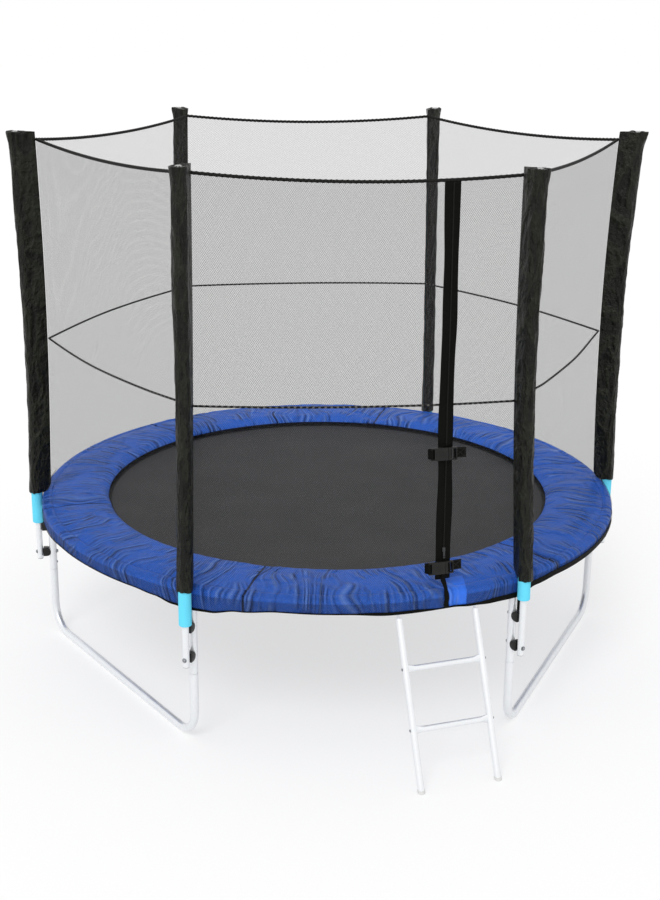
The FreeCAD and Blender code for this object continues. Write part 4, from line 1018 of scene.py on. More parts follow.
def spacer_mesh():
    """A D-shaped block, its round side towards the leg."""
    bm = bmesh.new()
    half, dome = 0.0145, 0.0185
    nose, back = -0.006, 0.0275
    made = bmesh.ops.create_circle(bm, segments=ROUND, radius=dome, cap_ends=True, matrix=turned(90, "X"))
    bmesh.ops.translate(bm, verts=made["verts"], vec=(dome + nose, -half, 0))
    for vert in bm.verts:
        if vert.co.x > nose + dome:
            vert.co.x = mix(nose + dome, back, (vert.co.x - nose - dome) / dome)
            vert.co.z = math.copysign(min(abs(vert.co.z) * 3 + 0.004, dome), vert.co.z)
    out = bmesh.ops.extrude_face_region(bm, geom=list(bm.faces))["geom"]
    bmesh.ops.translate(bm, verts=verts_of(out), vec=(0, 2 * half, 0))
    bmesh.ops.recalc_face_normals(bm, faces=bm.faces)
    rims = [edge for edge in bm.edges if abs(abs(edge.verts[0].co.y) - half) < 1e-6
            and abs(edge.verts[0].co.y - edge.verts[1].co.y) < 1e-6]
    bmesh.ops.bevel(bm, geom=rims, offset=0.0015, segments=2, profile=0.5, affect="EDGES", material=-1)
    return as_mesh(bm)


def pole_spacers():
    """The twelve blocks between legs and poles."""
    bm = bmesh.new()
    places = [at_station(k, RING_RADIUS + LEG_TUBE - 0.002, z) for z in SPACER_HEIGHTS for k in POSTS]
    repeated(bm, spacer_mesh(), places)
    set_piece("leg_spacers", bm, "plastic", "frame", ["pole_spacers"])


# Mat, rings and springs

def jumping_mat():
    """Woven disc with a folded hem, drawn from the middle of its top over the hem and back below."""
    bm = bmesh.new()
    radius, flat, folded = 0.004, 0.0008, 0.0042
    made = bmesh.ops.create_circle(bm, segments=144, radius=radius, cap_ends=True)
    bmesh.ops.translate(bm, verts=made["verts"], vec=(0, 0, MAT_HEIGHT + flat))
    loop = list({edge for vert in made["verts"] for edge in vert.link_edges if edge.is_boundary})
    section = [(0.1 * i, flat) for i in range(1, 10)]
    section += [(MAT_HEM, flat), (MAT_HEM + 0.0008, 0.0018), (MAT_HEM + 0.003, folded)]
    section += [(MAT_RADIUS - 0.001, folded), (MAT_RADIUS, 0.0034), (MAT_RADIUS, -0.0034)]
    section += [(MAT_RADIUS - 0.001, -folded), (MAT_HEM + 0.003, -folded), (MAT_HEM, -flat)]
    section += [(step, -flat) for step in (0.9, 0.6, 0.3, radius)]
    for step, height in section:
        loop = edges_of(bmesh.ops.extrude_edge_only(bm, edges=loop)["geom"])
        verts = list({vert for edge in loop for vert in edge.verts})
        share = step / radius
        bmesh.ops.scale(bm, verts=verts, vec=(share, share, 1))
        for vert in verts:
            vert.co.z = MAT_HEIGHT + height
        radius = step
    bmesh.ops.holes_fill(bm, edges=loop)
    piece = set_piece("woven_mat", bm, "mat", "mat", ["jumping_mat"])


def spring_angles():
    """Where the springs lie round the ring, six to a rail."""
    return [STEP / 6 * (i + 0.5) for i in range(STATIONS * 6)]


def mat_rings():
    """Wire loops with rounded corners, held in the hem."""
    bm = bmesh.new()
    wire, wide, narrow = 0.002, 0.0145, 0.006
    base = RING_NOSE - 0.042
    corners = [(base, -wide), (RING_NOSE - wire, -narrow), (RING_NOSE - wire, narrow), (base, wide)]
    for i, (x, y) in enumerate(corners):
        after = corners[(i + 1) % len(corners)]
        bar(bm, (x, y, 0), (after[0], after[1], 0), wire, 10, 0.0002)
        corner = Matrix.Translation((x, y, 0))
        bmesh.ops.create_uvsphere(bm, u_segments=10, v_segments=6, radius=wire, matrix=corner)
    source = as_mesh(bm)
    bm = bmesh.new()
    level = Matrix.Translation((0, 0, MAT_HEIGHT))
    repeated(bm, source, [turned(angle) @ level for angle in spring_angles()])
    set_piece("ring_wires", bm, "wire", "mat", ["mat_rings"], outwards=False)


def spring_mesh():
    """A close-wound coil with a hook at each end, lying along +X."""
    bm = bmesh.new()
    wire, coil, turns, steps = 0.0015, 0.0085, 26, 12
    slot_x, hold_x = 1.1874, RING_NOSE - 0.0055
    body = 0.104
    low = (slot_x + hold_x - body) / 2
    tube = Tube(bm, (low, 0, coil), (0, 1, 0), wire, 6)
    made = bmesh.ops.spin(bm, geom=tube.ends() + tube.loop, cent=(low, 0, 0), axis=(1, 0, 0),
                          dvec=(body / (turns * steps), 0, 0), angle=math.radians(360 * turns),
                          steps=turns * steps)
    tube.foot()
    bmesh.ops.holes_fill(bm, edges=edges_of(made["geom_last"]))
    rest = 0.0038
    for root, tip, side in ((low + body - 0.004, slot_x, 1), (low + 0.004, hold_x, -1)):
        hook = tip - side * wire
        for x, z, end_x, end_z in ((root - side * 0.004, coil, root, coil),
                                   (root, coil, root + side * 0.008, rest),
                                   (root + side * 0.0075, rest, tip, rest),
                                   (hook, rest + wire * 0.6, hook, rest - 0.009)):
            bar(bm, (x, 0, z), (end_x, 0, end_z), wire, 8, 0.0002)
    bmesh.ops.transform(bm, matrix=Matrix.Translation((0, 0, MAT_HEIGHT)), verts=bm.verts)
    return as_mesh(bm, "spring_pattern")


def springs():
    """Coils hooked to the ring at one end and to the mat's wire ring at the other."""
    source = spring_mesh()
    for i, angle in enumerate(spring_angles()):
        name = f"spring_{i + 1}"
        mesh = source.copy()
        mesh.name = name
        mesh.transform(turned(angle))
        mesh.materials.append(MATERIAL["wire"])
        mesh.shade_smooth()
        piece = bpy.data.objects.new(name, mesh)
        bpy.context.scene.collection.objects.link(piece)
        polar(SPRING_ROOT, angle, MAT_HEIGHT)
        polar(RING_NOSE, angle, MAT_HEIGHT)
        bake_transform(piece)
        if i == 0:
            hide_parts("springs")
    bpy.data.meshes.remove(source)


# Pad

def seam_at(angle):
    """How deep the seam's valley is, 1 on the seam itself, and how many degrees away the seam lies."""
    off = (angle - SEAM_TURN + STEP / 2) % STEP - STEP / 2
    width = math.radians(abs(off)) * 1.1
    return math.exp(-(width / 0.006) ** 2), off


def pad_point(angle, radius, z, crown):
    """Wrinkles: folds across the ring that gather at the outer rim, a valley at each seam."""
    seam, off = seam_at(angle)
    away = 1 - math.exp(-(off / 2.2) ** 2)
    turn = math.radians(angle)
    around, out = turn * 5.2, (radius - PAD_INNER) * 7
    fan = ruffle(around * 3.1 + out * 1.2 * math.sin(turn * 3), out * 0.7, 1.7)
    small = ruffle(around * 11, out * 4, 5.3)
    height = (fan * 0.0022 + small * 0.001) * away
    seam_drop = seam * 0.006 + math.exp(-(off / 0.9) ** 2) * 0.0025
    return polar(radius, angle, z + height * crown - seam_drop * min(crown * 2, 1))


def puffed_cover(profile, columns):
    """Cloth simulation of the cover over the foam.

    The cover is cut wider than the ring and sewn down at the seams, the sewn line and both rims.
    Air from below puffs it up, so that it wrinkles across the ring. Gives each point's new place.
    """
    rows = len(profile) - 1
    line = profile.index((PAD_STITCH, PAD_TOP + PAD_STITCH_DIP))

    def place(across, down):
        i = round(down * rows)
        crown = 1.0 if 4 <= i <= rows - PAD_ROLL_ROWS and i != line else 0.0
        return pad_point(across * 360, *profile[i], crown)

    bm = bmesh.new()
    cloth(bm, columns, rows, place, closed=True)
    bmesh.ops.recalc_face_normals(bm, faces=bm.faces)
    if sum(face.normal.z for face in bm.faces) < 0:
        bmesh.ops.reverse_faces(bm, faces=bm.faces)
    column_of, row_of = bm.verts.layers.int["column"], bm.verts.layers.int["row"]
    bm.verts.index_update()
    keys = [(vert[column_of], vert[row_of]) for vert in bm.verts]
    start = [vert.co.copy() for vert in bm.verts]
    mesh = as_mesh(bm, "cover_cut")
    trial = bpy.data.objects.new("cover_trial", mesh)
    scene = bpy.context.scene
    scene.collection.objects.link(trial)
    trial.shape_key_add(name="sewn")
    cut = trial.shape_key_add(name="cut")
    for point, co in zip(cut.data, start):
        longer = 1 + COVER_EXCESS / math.hypot(co.x, co.y)
        point.co = Vector((co.x * longer, co.y * longer, co.z))
    cut.value = 0
    sewn = [i for i, (column, row) in enumerate(keys)
            if row < 2 or row >= rows - 1 or row == line or abs(seam_at(column * 360 / columns)[1]) < 0.3]
    pins = trial.vertex_groups.new(name="sewn")
    pins.add(sewn, 1.0, "REPLACE")
    cover = trial.modifiers.new("Cloth", "CLOTH")
    cover.settings.quality = 4
    cover.settings.mass = 0.15
    cover.settings.vertex_group_mass = "sewn"
    cover.settings.use_pressure = True
    cover.settings.uniform_pressure_force = COVER_PRESSURE
    cover.settings.effector_weights.gravity = 0
    cover.settings.bending_stiffness = 0.35
    cover.settings.rest_shape_key = cut
    cover.point_cache.frame_start = 1
    cover.point_cache.frame_end = COVER_FRAMES
    for frame_number in range(1, COVER_FRAMES + 1):
        scene.frame_set(frame_number)
    settled = trial.evaluated_get(bpy.context.evaluated_depsgraph_get()).to_mesh()
    moved = {}
    for key, old, vert in zip(keys, start, settled.vertices):
        change = vert.co - old
        change.z = min(max(change.z, COVER_SINK), COVER_RISE)
        if change.length > COVER_MOVE:
            change *= COVER_MOVE / change.length
        moved[key] = old + change
    bpy.data.objects.remove(trial)
    bpy.data.meshes.remove(mesh)
    scene.frame_set(1)
    return moved


def safety_pad():
    """Foam in a coated cover: six panels sewn end to end, with a hanging skirt."""
    profile = pad_profile()
    rim = len(profile) - 1
    columns, rows = COVER_COLUMNS, rim + PAD_SKIRT_ROWS
    moved = puffed_cover(profile, columns)

    def place(across, down):
        column, i = round(across * columns) % columns, round(down * rows)
        angle = column * 360 / columns
        if (column, i) in moved:
            return moved[column, i]
        if i > rim:
            share = (i - rim) / PAD_SKIRT_ROWS
            wave = abs(ruffle(math.radians(angle) * 24, share * 2, 3.3)) * 0.0012 * share
            return polar(SKIRT_OUT - wave, angle, mix(profile[rim][1], read_off(SKIRT_EDGES, angle), share))
        crown = 1.0 if 4 <= i <= rim - PAD_ROLL_ROWS else 0.0
        return pad_point(angle, *profile[i], crown)

    def unwrap(across, down):
        i = round(down * rows)
        run = PAD_RUNS[i] if i <= rim else PAD_RUNS[rim] + (i - rim) / PAD_SKIRT_ROWS * 0.05
        return across * RING_LENGTH, run

    bm = bmesh.new()
    cloth(bm, columns, rows, place, closed=True, unwrap=unwrap)
    loop = [edge for edge in bm.edges if edge.is_boundary and edge.verts[0].co.z < PAD_UNDER - 0.01]
    behind, under = SKIRT_IN - 0.0006, PAD_UNDER - 0.001
    for radius, z in ((behind, None), (behind, under), (PAD_INNER + 0.02, under)):
        loop = edges_of(bmesh.ops.extrude_edge_only(bm, edges=loop)["geom"])
        for vert in {vert for edge in loop for vert in edge.verts}:
            angle = math.degrees(math.atan2(vert.co.y, vert.co.x))
            vert.co = polar(radius, angle, vert.co.z if z is None else z)
    bmesh.ops.bridge_loops(bm, edges=[edge for edge in bm.edges if edge.is_boundary])
    piece = set_piece("spring_pad", bm, "pad", "frame", ["safety_pad"], sharp=70)


# Net

def arch(share):
    return 4 * share * (1 - share)


def net_at(side, share, z):
    """Point of the net: side counts the panels from +X, share runs along one, z is its height there.

    The top edge sags below the height that it is asked for.
    """
    def straight(corner, bow):
        start, end = polar(corner, STEP * side), polar(corner, STEP * (side + 1))
        return start.lerp(end, share) + polar(bow * arch(share), STEP * (side + 0.5))

    mid_corner = mix(NET_WAIST_CORNER, NET_TOP_CORNER, (NET_MID - NET_WAIST) / (NET_TOP - NET_WAIST))
    angle = STEP * (side + share)
    bow = TAUT_BOW if side % STATIONS == TAUT_SIDE else NET_BOW
    if z >= NET_MID:
        lift = (z - NET_MID) / (NET_TOP - NET_MID)
        point = straight(mid_corner, bow).lerp(straight(NET_TOP_CORNER, 0.0), lift)
        point.z = mix(NET_MID, NET_TOP - NET_SAG * arch(share), lift)
    elif z >= NET_WAIST:
        lift = (z - NET_WAIST) / (NET_MID - NET_WAIST)
        point = polar(NET_WAIST_CORNER, angle).lerp(straight(mid_corner, bow), lift)
        point.z = z
    else:
        lift = min(max((z - NET_KNEE) / (NET_WAIST - NET_KNEE), 0.0), 1.0)
        point = polar(mix(NET_FOOT, NET_WAIST_CORNER, lift), angle, z)
    return point


NET_PARTS = ((NET_TOP, NET_MID, 24), (NET_MID, NET_WAIST, 20), (NET_WAIST, NET_KNEE, 4))
NET_ROWS = [mix(high, low, i / count) for high, low, count in NET_PARTS for i in range(count)]
NET_ROWS += [mix(NET_KNEE, SKIRT_LOW, i / 3) for i in range(4)]


def safety_net():
    """Six knitted panels, bowed outwards at the middle cord and spread over the pad."""
    rows = len(NET_ROWS) - 1

    def place(across, down):
        side = min(int(across * STATIONS), STATIONS - 1)
        share = across * STATIONS - side
        z = NET_ROWS[min(round(down * rows), rows)]
        point = net_at(side, share, z)
        if z < NET_KNEE:
            angle = STEP * (side + share)
            point.z = mix(NET_KNEE, read_off(SKIRT_EDGES, angle), (NET_KNEE - z) / (NET_KNEE - SKIRT_LOW))
        free = arch(share) * ease(z, NET_WAIST, NET_WAIST + 0.25) * ease(NET_TOP - z, 0.0, 0.12)
        free *= 1 - 0.8 * math.exp(-((z - NET_MID) / 0.05) ** 2)
        sway = ruffle(across * 30, z * 1.1, 2.0) * 0.004 + ruffle(across * 75, z * 2.3, 8.0) * 0.0015
        return point - outwards_at(point) * (0.001 + (sway + 0.003) * free)

    bm = bmesh.new()
    cloth(bm, STATIONS * 48, rows, place, closed=True)
    opened = []
    for face in bm.faces:
        middle = face.calc_center_median()
        angle = math.degrees(math.atan2(middle.y, middle.x)) % 360
        if DOOR_GAP[0] < angle < DOOR_GAP[1] and middle.z < NET_WAIST - 0.002:
            opened.append(face)
    bmesh.ops.delete(bm, geom=opened, context="FACES")
    panels = [f"net_panel_{k}" for k in POSTS]
    piece = set_piece("net_panels", bm, "net", "frame", panels, sharp=180, lean=True)


def cord_ring(name, replaced, line, radius, ribs, finish="cord"):
    """A closed braided cord along a line of points."""
    count = len(line)
    bm = bmesh.new()
    sides = 12

    def place(across, down):
        i = round(across * count) % count
        before, here, after = line[i - 1], line[i], line[(i + 1) % count]
        along = (after - before).normalized()
        outwards = outwards_at(here)
        side = along.cross(outwards).normalized()
        turn = 2 * math.pi * down
        wind = ribs * 2 * math.pi * across
        strand = 1 + 0.09 * math.sin(3 * turn + wind) + 0.09 * math.sin(3 * turn - wind)
        return here + (outwards * math.cos(turn) + side * math.sin(turn)) * radius * strand

    cloth(bm, count, sides, place, closed=True)
    set_piece(name, bm, finish, "frame", [replaced], sharp=180, lean=True)


def net_line(z, inset, columns, lift=0.0):
    """Points along the net at one height, a little inside it."""
    line = []
    for i in range(columns):
        across = i / columns * STATIONS
        side = int(across)
        point = net_at(side, across - side, z)
        line.append(point - outwards_at(point) * inset + UP * lift)
    return line


def net_cords():
    cord_ring("top_cord", "net_top_cord", net_line(NET_TOP, 0.0035, 1440, 0.003), 0.006, 360)
    cord_ring("middle_cord", "net_mid_cord", net_line(NET_MID, 0.0052, 1440), 0.004, 300, "lacing")


def net_foot():
    """Webbing hem that follows the wavy foot of the net, and a strap behind each foam tube."""
    inner, outer = NET_FOOT + 0.0003, NET_FOOT + 0.0016
    corners = [(inner, 0), (outer, 0), (outer, 1), (inner, 1)]

    def place(across, down):
        radius, high = corners[round(down * 4) % 4]
        angle = across * 360
        low = read_off(SKIRT_EDGES, angle) - 0.0012 + ruffle(across * 60, 1.0, 4.4) * 0.0008
        return polar(radius, angle, low + high * read_off(HEM_HEIGHTS, angle))

    bm = bmesh.new()
    cloth(bm, 720, 4, place, closed=True)
    set_piece("net_hem_band", bm, "webbing", "frame", ["net_hem"])
    bm = bmesh.new()
    for k in POSTS:
        top = read_off(SKIRT_EDGES, STEP * (k - 1)) - 0.002
        box_at(bm, (inner, -0.0075, 0.51), (outer - 0.0002, 0.0075, top), at_station(k), 0.0003, 1)
    set_piece("foot_straps", bm, "webbing", "frame", ["net_straps"])


# Door

def door_x(z):
    """Where the middle of the door strip lies at a height."""
    return mix(DOOR_LOW_X, DOOR_TOP_X, (z - NET_WAIST) / (NET_TOP - NET_WAIST))


def front_at(x, z):
    """Point of the front panel at x and z, found by halving the panel."""
    low, high = 0.0, 1.0
    for _ in range(24):
        middle = (low + high) / 2
        if net_at(DOOR_SIDE, middle, z).x < x:
            low = middle
        else:
            high = middle
    return net_at(DOOR_SIDE, low, z)


def door_strip():
    """Zip tape from the top edge to the waist, with two rows of teeth."""
    out = Vector((0.12, -1, 0)).normalized()

    def place(across, down):
        z = mix(NET_TOP - 0.002, NET_WAIST, down)
        x = door_x(z) + (across - 0.5) * (DOOR_WIDTH + TAPE_EXTRA) - TAPE_ASIDE
        ripple = ruffle(z * 6, across * 1.5, 6.6) * 0.0016
        return front_at(x, z) + out * (0.0014 + max(ripple, -0.0006)) + Vector((ripple * 1.5, 0, 0))

    bm = bmesh.new()
    cloth(bm, 10, 160, place)
    set_piece("zip_band", bm, "webbing", "frame", ["door_zip"], wall=1.0, lean=True)
    bm = bmesh.new()
    for i in range(ZIP_TEETH):
        z = mix(NET_WAIST + 0.004, NET_TOP - 0.006, i / (ZIP_TEETH - 1))
        side = 0.0009 if i % 2 else -0.0009
        here = front_at(door_x(z), z) + out * 0.0026 + Vector((side, 0, 0))
        box_at(bm, (-0.0016, -0.0009, -0.001), (0.0016, 0.0009, 0.001), Matrix.Translation(here))
    set_piece("zip_teeth", bm, "plastic", "frame", lean=True)


def door_tail():
    """Narrower strap from the lower buckle over the edge of the pad to the hem."""
    angle = 270 + math.degrees(math.asin(DOOR_LOW_X / NET_WAIST_CORNER))
    low = read_off(SKIRT_EDGES, angle)
    waist, foot = NET_WAIST_CORNER + 0.0018, NET_FOOT + 0.0018
    path = [(waist, NET_WAIST + 0.03), (waist, NET_WAIST), (foot, NET_KNEE + 0.001), (foot, low)]

    def place(across, down):
        part = min(down * 3, 2.9999)
        i = int(part)
        start, end = path[i], path[i + 1]
        radius, z = mix(start[0], end[0], part - i), mix(start[1], end[1], part - i)
        ripple = ruffle(z * 40, across * 2, 2.2) * 0.0006
        aside = (across - 0.5) * DOOR_TAIL / RING_RADIUS * DEGREES_PER_RADIAN + ripple * 300
        return polar(radius + 0.0006 + ripple, angle + aside, z)

    bm = bmesh.new()
    cloth(bm, 6, 24, place)
    set_piece("door_tail", bm, "webbing", "frame", wall=1.0)


def seat(place):
    """Matrix of a seat on the front: its middle, the way along it and the way up it."""
    middle, along, up = (Vector(value) for value in place)
    turn = Matrix((along, up, along.cross(up))).transposed().to_4x4()
    return Matrix.Translation(middle) @ turn


def zip_runner():
    """Slider: two wings round a neck, a bridge on top and a pull tab on a ring."""
    bm = bmesh.new()
    place = seat(SLIDER) @ Matrix.Translation((0, 0.024, 0))
    box_at(bm, (-0.0055, 0.0, 0.0), (0.0055, 0.016, 0.0014), place, 0.0006)
    box_at(bm, (-0.0048, 0.001, 0.0016), (0.0048, 0.015, 0.003), place, 0.0006)
    box_at(bm, (-0.0012, 0.011, 0.0012), (0.0012, 0.015, 0.0018), place)
    box_at(bm, (-0.001, 0.002, 0.003), (0.001, 0.0034, 0.0043), place, 0.0003, 1)
    box_at(bm, (-0.001, 0.011, 0.003), (0.001, 0.0124, 0.0043), place, 0.0003, 1)
    box_at(bm, (-0.001, 0.002, 0.0037), (0.001, 0.0124, 0.0044), place, 0.0003, 1)
    for low, high in (((-0.0036, -0.024), (-0.0018, 0.0016)), ((0.0018, -0.024), (0.0036, 0.0016)),
                      ((-0.0018, -0.024), (0.0018, -0.02)), ((-0.0018, -0.0155), (0.0018, 0.0016))):
        box_at(bm, (*low, 0.003), (*high, 0.0042), place, 0.0003, 1)
    set_piece("zip_runner", bm, "slider", "slider", ["zip_slider"], sharp=35)


def buckle_socket(bm, place):
    """Two plates joined at the back and beside the mouth, open at the sides, with a webbing bar."""
    half, length, thick, wall = BUCKLE_HALF, 0.062, BUCKLE_THICK, BUCKLE_WALL
    for low in (0.0, thick - wall):
        box_at(bm, (-0.046, -half, low), (0, half, low + wall), place, 0.0011)
    for side in (-1, 1):
        for start, end in ((-0.046, -0.037), (-0.0185, -0.0005)):
            inner, outer = sorted((side * (half - wall), side * half))
            box_at(bm, (start, inner, 0.0015), (end, outer, thick - 0.0015), place, 0.0009)
        inner, outer = sorted((side * (half - 0.0052), side * half))
        box_at(bm, (-length, inner, 0.0008), (-0.044, outer, thick - 0.0008), place, 0.0016)
    box_at(bm, (-length, -half, 0.0012), (-length + 0.0038, half, thick - 0.0012), place, 0.0015)
    box_at(bm, (-0.051, -half, 0.0006), (-0.0445, half, thick - 0.0006), place, 0.0015)
    for i in range(4):
        x = -0.036 + i * 0.0065
        box_at(bm, (x, -0.012, thick - 0.0004), (x + 0.0022, 0.012, thick + 0.0008), place, 0.0004, 1)
    box_at(bm, (-0.009, -0.017, thick - 0.0004), (-0.0075, 0.017, thick + 0.0005), place, 0.0003, 1)


def buckle_tongue(name, place, replaced):
    """Head with a webbing bar, a middle guide and two prongs with shoulders in the side windows."""
    bm = bmesh.new()
    half, thick, slack = BUCKLE_HALF, BUCKLE_THICK, 0.0006
    low, high = BUCKLE_WALL + slack, thick - BUCKLE_WALL - slack
    box_at(bm, (slack, -half, 0.0), (0.0125, half, thick), place, 0.0018)
    box_at(bm, (0.0295, -half, 0.001), (0.034, half, thick - 0.001), place, 0.0016)
    for side in (-1, 1):
        inner, outer = sorted((side * (half - 0.0052), side * half))
        box_at(bm, (0.01, inner, 0.0005), (0.032, outer, thick - 0.0005), place, 0.0016)
        inner, outer = sorted((side * 0.0135, side * 0.0192))
        box_at(bm, (-0.041, inner, low), (0.003, outer, high), place, 0.0014)
        inner, outer = sorted((side * 0.0185, side * 0.0197))
        box_at(bm, (-0.036, inner, low + 0.0005), (-0.02, outer, high - 0.0005), place, 0.0005)
    box_at(bm, (-0.033, -0.003, low), (0.003, 0.003, high), place, 0.0012)
    box_at(bm, (0.0205, -half + 0.004, 0.005), (0.0235, half - 0.004, 0.0095), place, 0.0012)
    for i in range(3):
        x = 0.0025 + i * 0.003
        box_at(bm, (x, -0.016, thick - 0.0004), (x + 0.0012, 0.016, thick + 0.0006), place, 0.0003, 1)
    set_piece(name, bm, "plastic", "insert_" + name.split("_")[-1], replaced, sharp=35)


def sewn_tabs():
    """Webbing tabs beside each buckle, folded edge out, with a box of stitches and a cross."""
    bm, thread = bmesh.new(), bmesh.new()
    half_long, half_tall, thick = 0.022, 0.0184, 0.0014
    corners = ((-0.018, -0.015), (0.018, -0.015), (0.018, 0.015), (-0.018, 0.015))
    lines = [(corners[i], corners[j]) for i, j in ((0, 1), (1, 2), (2, 3), (3, 0), (0, 2), (3, 1))]
    above = thick + 0.0003
    for number, tab in enumerate(TABS):
        place = seat(tab)

        def surface(across, down):
            x, y = (across - 0.5) * 2 * half_long, (down - 0.5) * 2 * half_tall
            curl = ruffle(x * 60 + number * 5, y * 50, 1.1) * 0.0006
            return place @ Vector((x, y, thick * 0.35 + abs(curl)))

        cloth(bm, 14, 12, surface)
        for (x, y), (end_x, end_y) in lines:
            count = round(math.hypot(end_x - x, end_y - y) / 0.0034)
            for i in range(count):
                start, end = (place @ Vector((mix(x, end_x, share), mix(y, end_y, share), above))
                              for share in ((i + 0.15) / count, (i + 0.85) / count))
                bar(thread, start, end, 0.0004, 6, 0.0001)
    set_piece("buckle_tabs", bm, "webbing", "frame", ["buckle_webbing"], outwards=False, wall=0.0)
    set_piece("tab_stitches", thread, "thread", "frame")


def webbing_loops():
    """Webbing that runs from each tab through the bar at the back of the socket."""
    bm = bmesh.new()
    for word, tab in (("low", TABS[0]), ("high", TABS[2])):
        place = seat(BUCKLES[word])
        root = place.inverted() @ (seat(tab) @ Vector((-0.006, 0, 0.0022)))
        path = [root] + [Vector((x, 0, z)) for x, z in (
            (-0.072, 0.006), (-0.0645, BUCKLE_THICK + 0.0008), (-0.0592, BUCKLE_THICK + 0.0012),
            (-0.0555, BUCKLE_THICK - 0.0008), (-0.0545, 0.008), (-0.0556, 0.0012))]

        def place_at(across, down):
            part = min(down * (len(path) - 1), len(path) - 1.0001)
            i = int(part)
            point = path[i].lerp(path[i + 1], part - i)
            return place @ (point + Vector((0, (across - 0.5) * 0.032, 0)))

        cloth(bm, 8, 24, place_at)
    set_piece("buckle_loops", bm, "webbing", "frame", outwards=False, wall=0.0)


def buckles():
    """Both buckles: their sockets on the frame, their tongues each on a body of its own."""
    bm = bmesh.new()
    for word, place in BUCKLES.items():
        buckle_socket(bm, seat(place))
        buckle_tongue(f"tongue_{word}", seat(place), [f"buckle_insert_{word}"])
    set_piece("socket_shells", bm, "plastic", "frame", ["buckle_sockets"], sharp=35)


# Ladder

LADDER_PLACE = turned(LADDER_TURN) @ Matrix.Translation((0, LADDER_ASIDE, 0))


def set_on_ladder(name, bm, finish, replaced=()):
    """Sets a piece that was made as if the ladder stood along +X."""
    bmesh.ops.transform(bm, matrix=LADDER_PLACE, verts=bm.verts)
    set_piece(name, bm, finish, "ladder", replaced)


def rail_point(z, y=0.0):
    """Point on the middle line of the ladder's slope, before the ladder is turned to its place."""
    return Vector((mix(LADDER_FOOT, LADDER_HEAD, z / LADDER_TOP), y, z))


def ladder_hook(bm, y):
    """Flat strip bent over the ring tube, then down into the rail."""
    inner, outer, half = HOOK_IN, HOOK_OUT, HOOK_HALF
    centre = Vector((LADDER_PIVOT, y, RING_HEIGHT))
    path = [centre + Vector((math.cos(turn), 0, math.sin(turn))) * inner
            for turn in (math.radians(195 - 195 * i / 20) for i in range(21))]
    low = LADDER_TOP - LADDER_TUBE * 3
    path += [centre + Vector((inner, 0, SKIRT_LOW - RING_HEIGHT)), Vector((rail_point(low).x, y, low))]
    away = []
    for i in range(len(path)):
        before, after = path[max(i - 1, 0)], path[min(i + 1, len(path) - 1)]
        along = (after - before).normalized()
        away.append(along.cross(Vector((0, -1, 0))).normalized() * (outer - inner))
    rows = len(path) - 1
    section = [(-half, 0), (half, 0), (half, 1), (-half, 1)]

    def place(across, down):
        side, layer = section[round(across * 4) % 4]
        i = min(round(down * rows), rows)
        return path[i] + away[i] * layer + Vector((0, side, 0))

    cloth(bm, 4, rows, place, closed=True)
    bmesh.ops.holes_fill(bm, edges=[edge for edge in bm.edges if edge.is_boundary])


def ladder():
    """Two rails with hooks, two rungs with flattened ends, two feet and the screws."""
    run = (rail_point(LADDER_TOP) - rail_point(0)).normalized()
    for side, word in ((-1, "left"), (1, "right")):
        bm = bmesh.new()
        y = side * LADDER_HALF
        bar(bm, rail_point(0.006, y), rail_point(LADDER_TOP, y), LADDER_TUBE, ROUND)
        ladder_hook(bm, y)
        set_on_ladder(f"ladder_side_{word}", bm, "steel", [f"ladder_rail_{word}"])
    bm = bmesh.new()
    for z in RUNG_HEIGHTS:
        middle = rail_point(z)
        for side in (-1, 1):
            reach = LADDER_HALF - LADDER_TUBE * 0.7
            tube = Tube(bm, middle, (0, side, 0), RUNG_TUBE, ROUND)
            tube.run((0, side * (reach - 0.034), 0))
            before = (1.0, 1.0)
            for step, flat, tall in RUNG_ENDS:
                tube.run((0, side * step, 0))
                bmesh.ops.scale(bm, verts=tube.ends(), vec=(flat / before[0], 1, tall / before[1]),
                                space=Matrix.Translation(-tube.middle()))
                before = (flat, tall)
            tube.shut()
    bmesh.ops.remove_doubles(bm, verts=bm.verts, dist=1e-5)
    set_on_ladder("ladder_steps", bm, "steel", ["ladder_rungs"])
    bm = bmesh.new()
    for side in (-1, 1):
        base = rail_point(0, side * LADDER_HALF)
        foot = Tube(bm, base, UP, LADDER_TUBE * 0.96, ROUND).foot()
        foot.run((0, 0, 0.0012), LADDER_TUBE + 0.001).run(run * 0.012).shut()
    set_on_ladder("ladder_soles", bm, "foot", ["ladder_feet"])
    bm = bmesh.new()
    for z in RUNG_HEIGHTS:
        for side in (-1, 1):
            head = Matrix.Translation(rail_point(z, side * (LADDER_HALF + LADDER_TUBE - 0.0006)))
            screw_head(bm, head @ turned(90 * side), *LADDER_SCREW)
    set_on_ladder("ladder_bolts", bm, "bolt")


PIECES = (frame_rails, leg_bases, frame_fasteners, net_poles, pole_foams, pole_sleeves, pole_spacers,
          jumping_mat, mat_rings, springs, safety_pad, safety_net, net_cords, net_foot, door_strip,
          door_tail, zip_runner, buckles, sewn_tabs, webbing_loops, ladder)
for make in PIECES:
    make()


# Stage

FLOOR_WHITE = 0.63
FLOOR_SIZE = 40
SKY_LEVEL = 0.8
SUN_LEVEL = 1.15
PHOTO_HEIGHT = 900
FOCAL_PIXELS = 1419.2
SENSOR = 36
CAMERA_PLACE = (-0.6016, -5.8289, 2.7567)
CAMERA_TURN = (5.99, 18.42, 0.67)


def seen_rays(n):
    """1 for rays from the camera, and for those that metal or a clear part sends on."""
    path = n.add("ShaderNodeLightPath")
    seen = n.math("ADD", path.outputs["Is Camera Ray"], path.outputs["Is Glossy Ray"], True)
    return n.math("ADD", seen, path.outputs["Is Transmission Ray"], True)


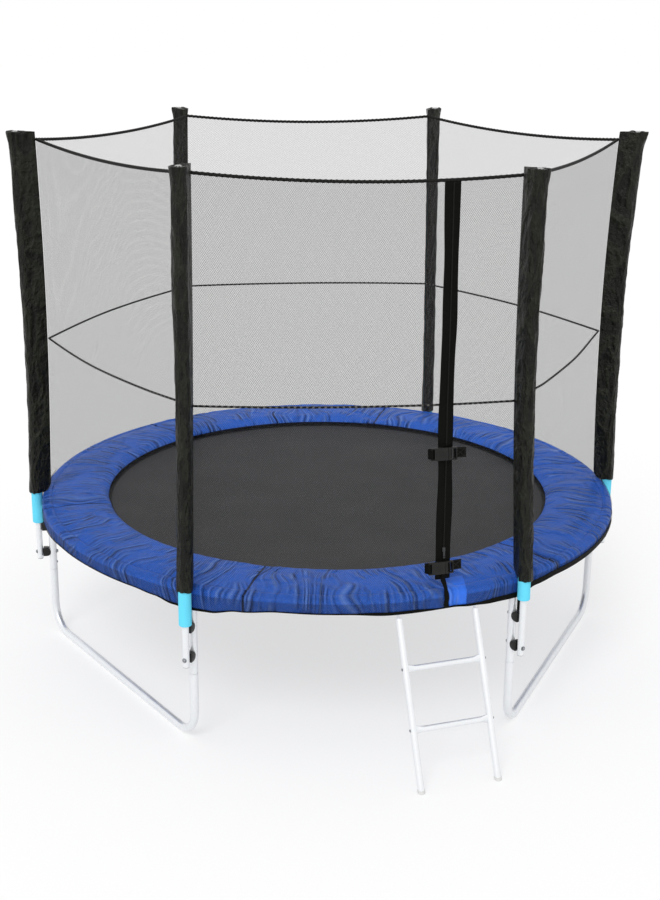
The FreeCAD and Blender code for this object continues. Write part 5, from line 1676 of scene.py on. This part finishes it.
def stage():
    """Pale floor, seen a little whiter than it is lit, so that it meets the white behind it."""
    bm = bmesh.new()
    bmesh.ops.create_grid(bm, x_segments=1, y_segments=1, size=FLOOR_SIZE)
    mesh = as_mesh(bm, "floor")
    floor = bpy.data.objects.new("floor", mesh)
    floor.location.z = -0.001
    bpy.context.scene.collection.objects.link(floor)
    pale = Finish("pale_floor", (0.98, 0.98, 0.98), 0.9, {"Specular IOR Level": 0.0})
    n = pale.n
    glow = n.add("ShaderNodeEmission", Strength=1.0)
    glow.inputs["Color"].default_value = (1, 1, 1, 1)
    both = n.add("ShaderNodeMixShader")
    n.join(n.math("MULTIPLY", seen_rays(n), FLOOR_WHITE), both.inputs[0])
    n.join(pale.shader.outputs[0], both.inputs[1])
    n.join(glow.outputs[0], both.inputs[2])
    n.join(both.outputs[0], pale.material.node_tree.nodes["Material Output"].inputs["Surface"])
    mesh.materials.append(pale.material)


def lights():
    """A white world that is plain to the eye and soft on the object, and one broad sun."""
    world = bpy.data.worlds.new("studio")
    bpy.context.scene.world = world
    world.use_nodes = True
    n = Net(world.node_tree)
    world.node_tree.nodes.clear()
    output = n.add("ShaderNodeOutputWorld")
    soft = n.add("ShaderNodeBackground", Strength=SKY_LEVEL)
    white = n.add("ShaderNodeBackground", Strength=1.0)
    for shader in (soft, white):
        shader.inputs["Color"].default_value = (1, 1, 1, 1)
    both = n.add("ShaderNodeMixShader")
    n.join(seen_rays(n), both.inputs[0])
    n.join(soft.outputs[0], both.inputs[1])
    n.join(white.outputs[0], both.inputs[2])
    n.join(both.outputs[0], output.inputs[0])
    lamp = bpy.data.lights.new("key", "SUN")
    lamp.energy = SUN_LEVEL
    lamp.angle = math.radians(25)
    key = bpy.data.objects.new("key", lamp)
    key.rotation_euler = (math.radians(38), math.radians(-22), 0)
    bpy.context.scene.collection.objects.link(key)


def camera():
    """At the photograph's place, fitted to the poles, ring and ladder."""
    yaw, pitch, roll = (math.radians(value) for value in CAMERA_TURN)
    ahead = Vector((math.sin(yaw) * math.cos(pitch), math.cos(yaw) * math.cos(pitch), -math.sin(pitch)))
    right = Vector((math.cos(yaw), -math.sin(yaw), 0))
    above = right.cross(ahead)
    tilted_right = right * math.cos(roll) + above * math.sin(roll)
    tilted_above = -right * math.sin(roll) + above * math.cos(roll)
    data = bpy.data.cameras.new("camera")
    data.sensor_fit = "AUTO"
    data.sensor_width = SENSOR
    data.lens = FOCAL_PIXELS / PHOTO_HEIGHT * SENSOR
    data.clip_end = 90
    eye = bpy.data.objects.new("camera", data)
    turn = Matrix((tilted_right, tilted_above, -ahead)).transposed().to_4x4()
    eye.matrix_world = Matrix.Translation(CAMERA_PLACE) @ turn
    bpy.context.scene.collection.objects.link(eye)
    bpy.context.scene.camera = eye
    bpy.context.scene.view_settings.view_transform = "Standard"


stage()
lights()
camera()
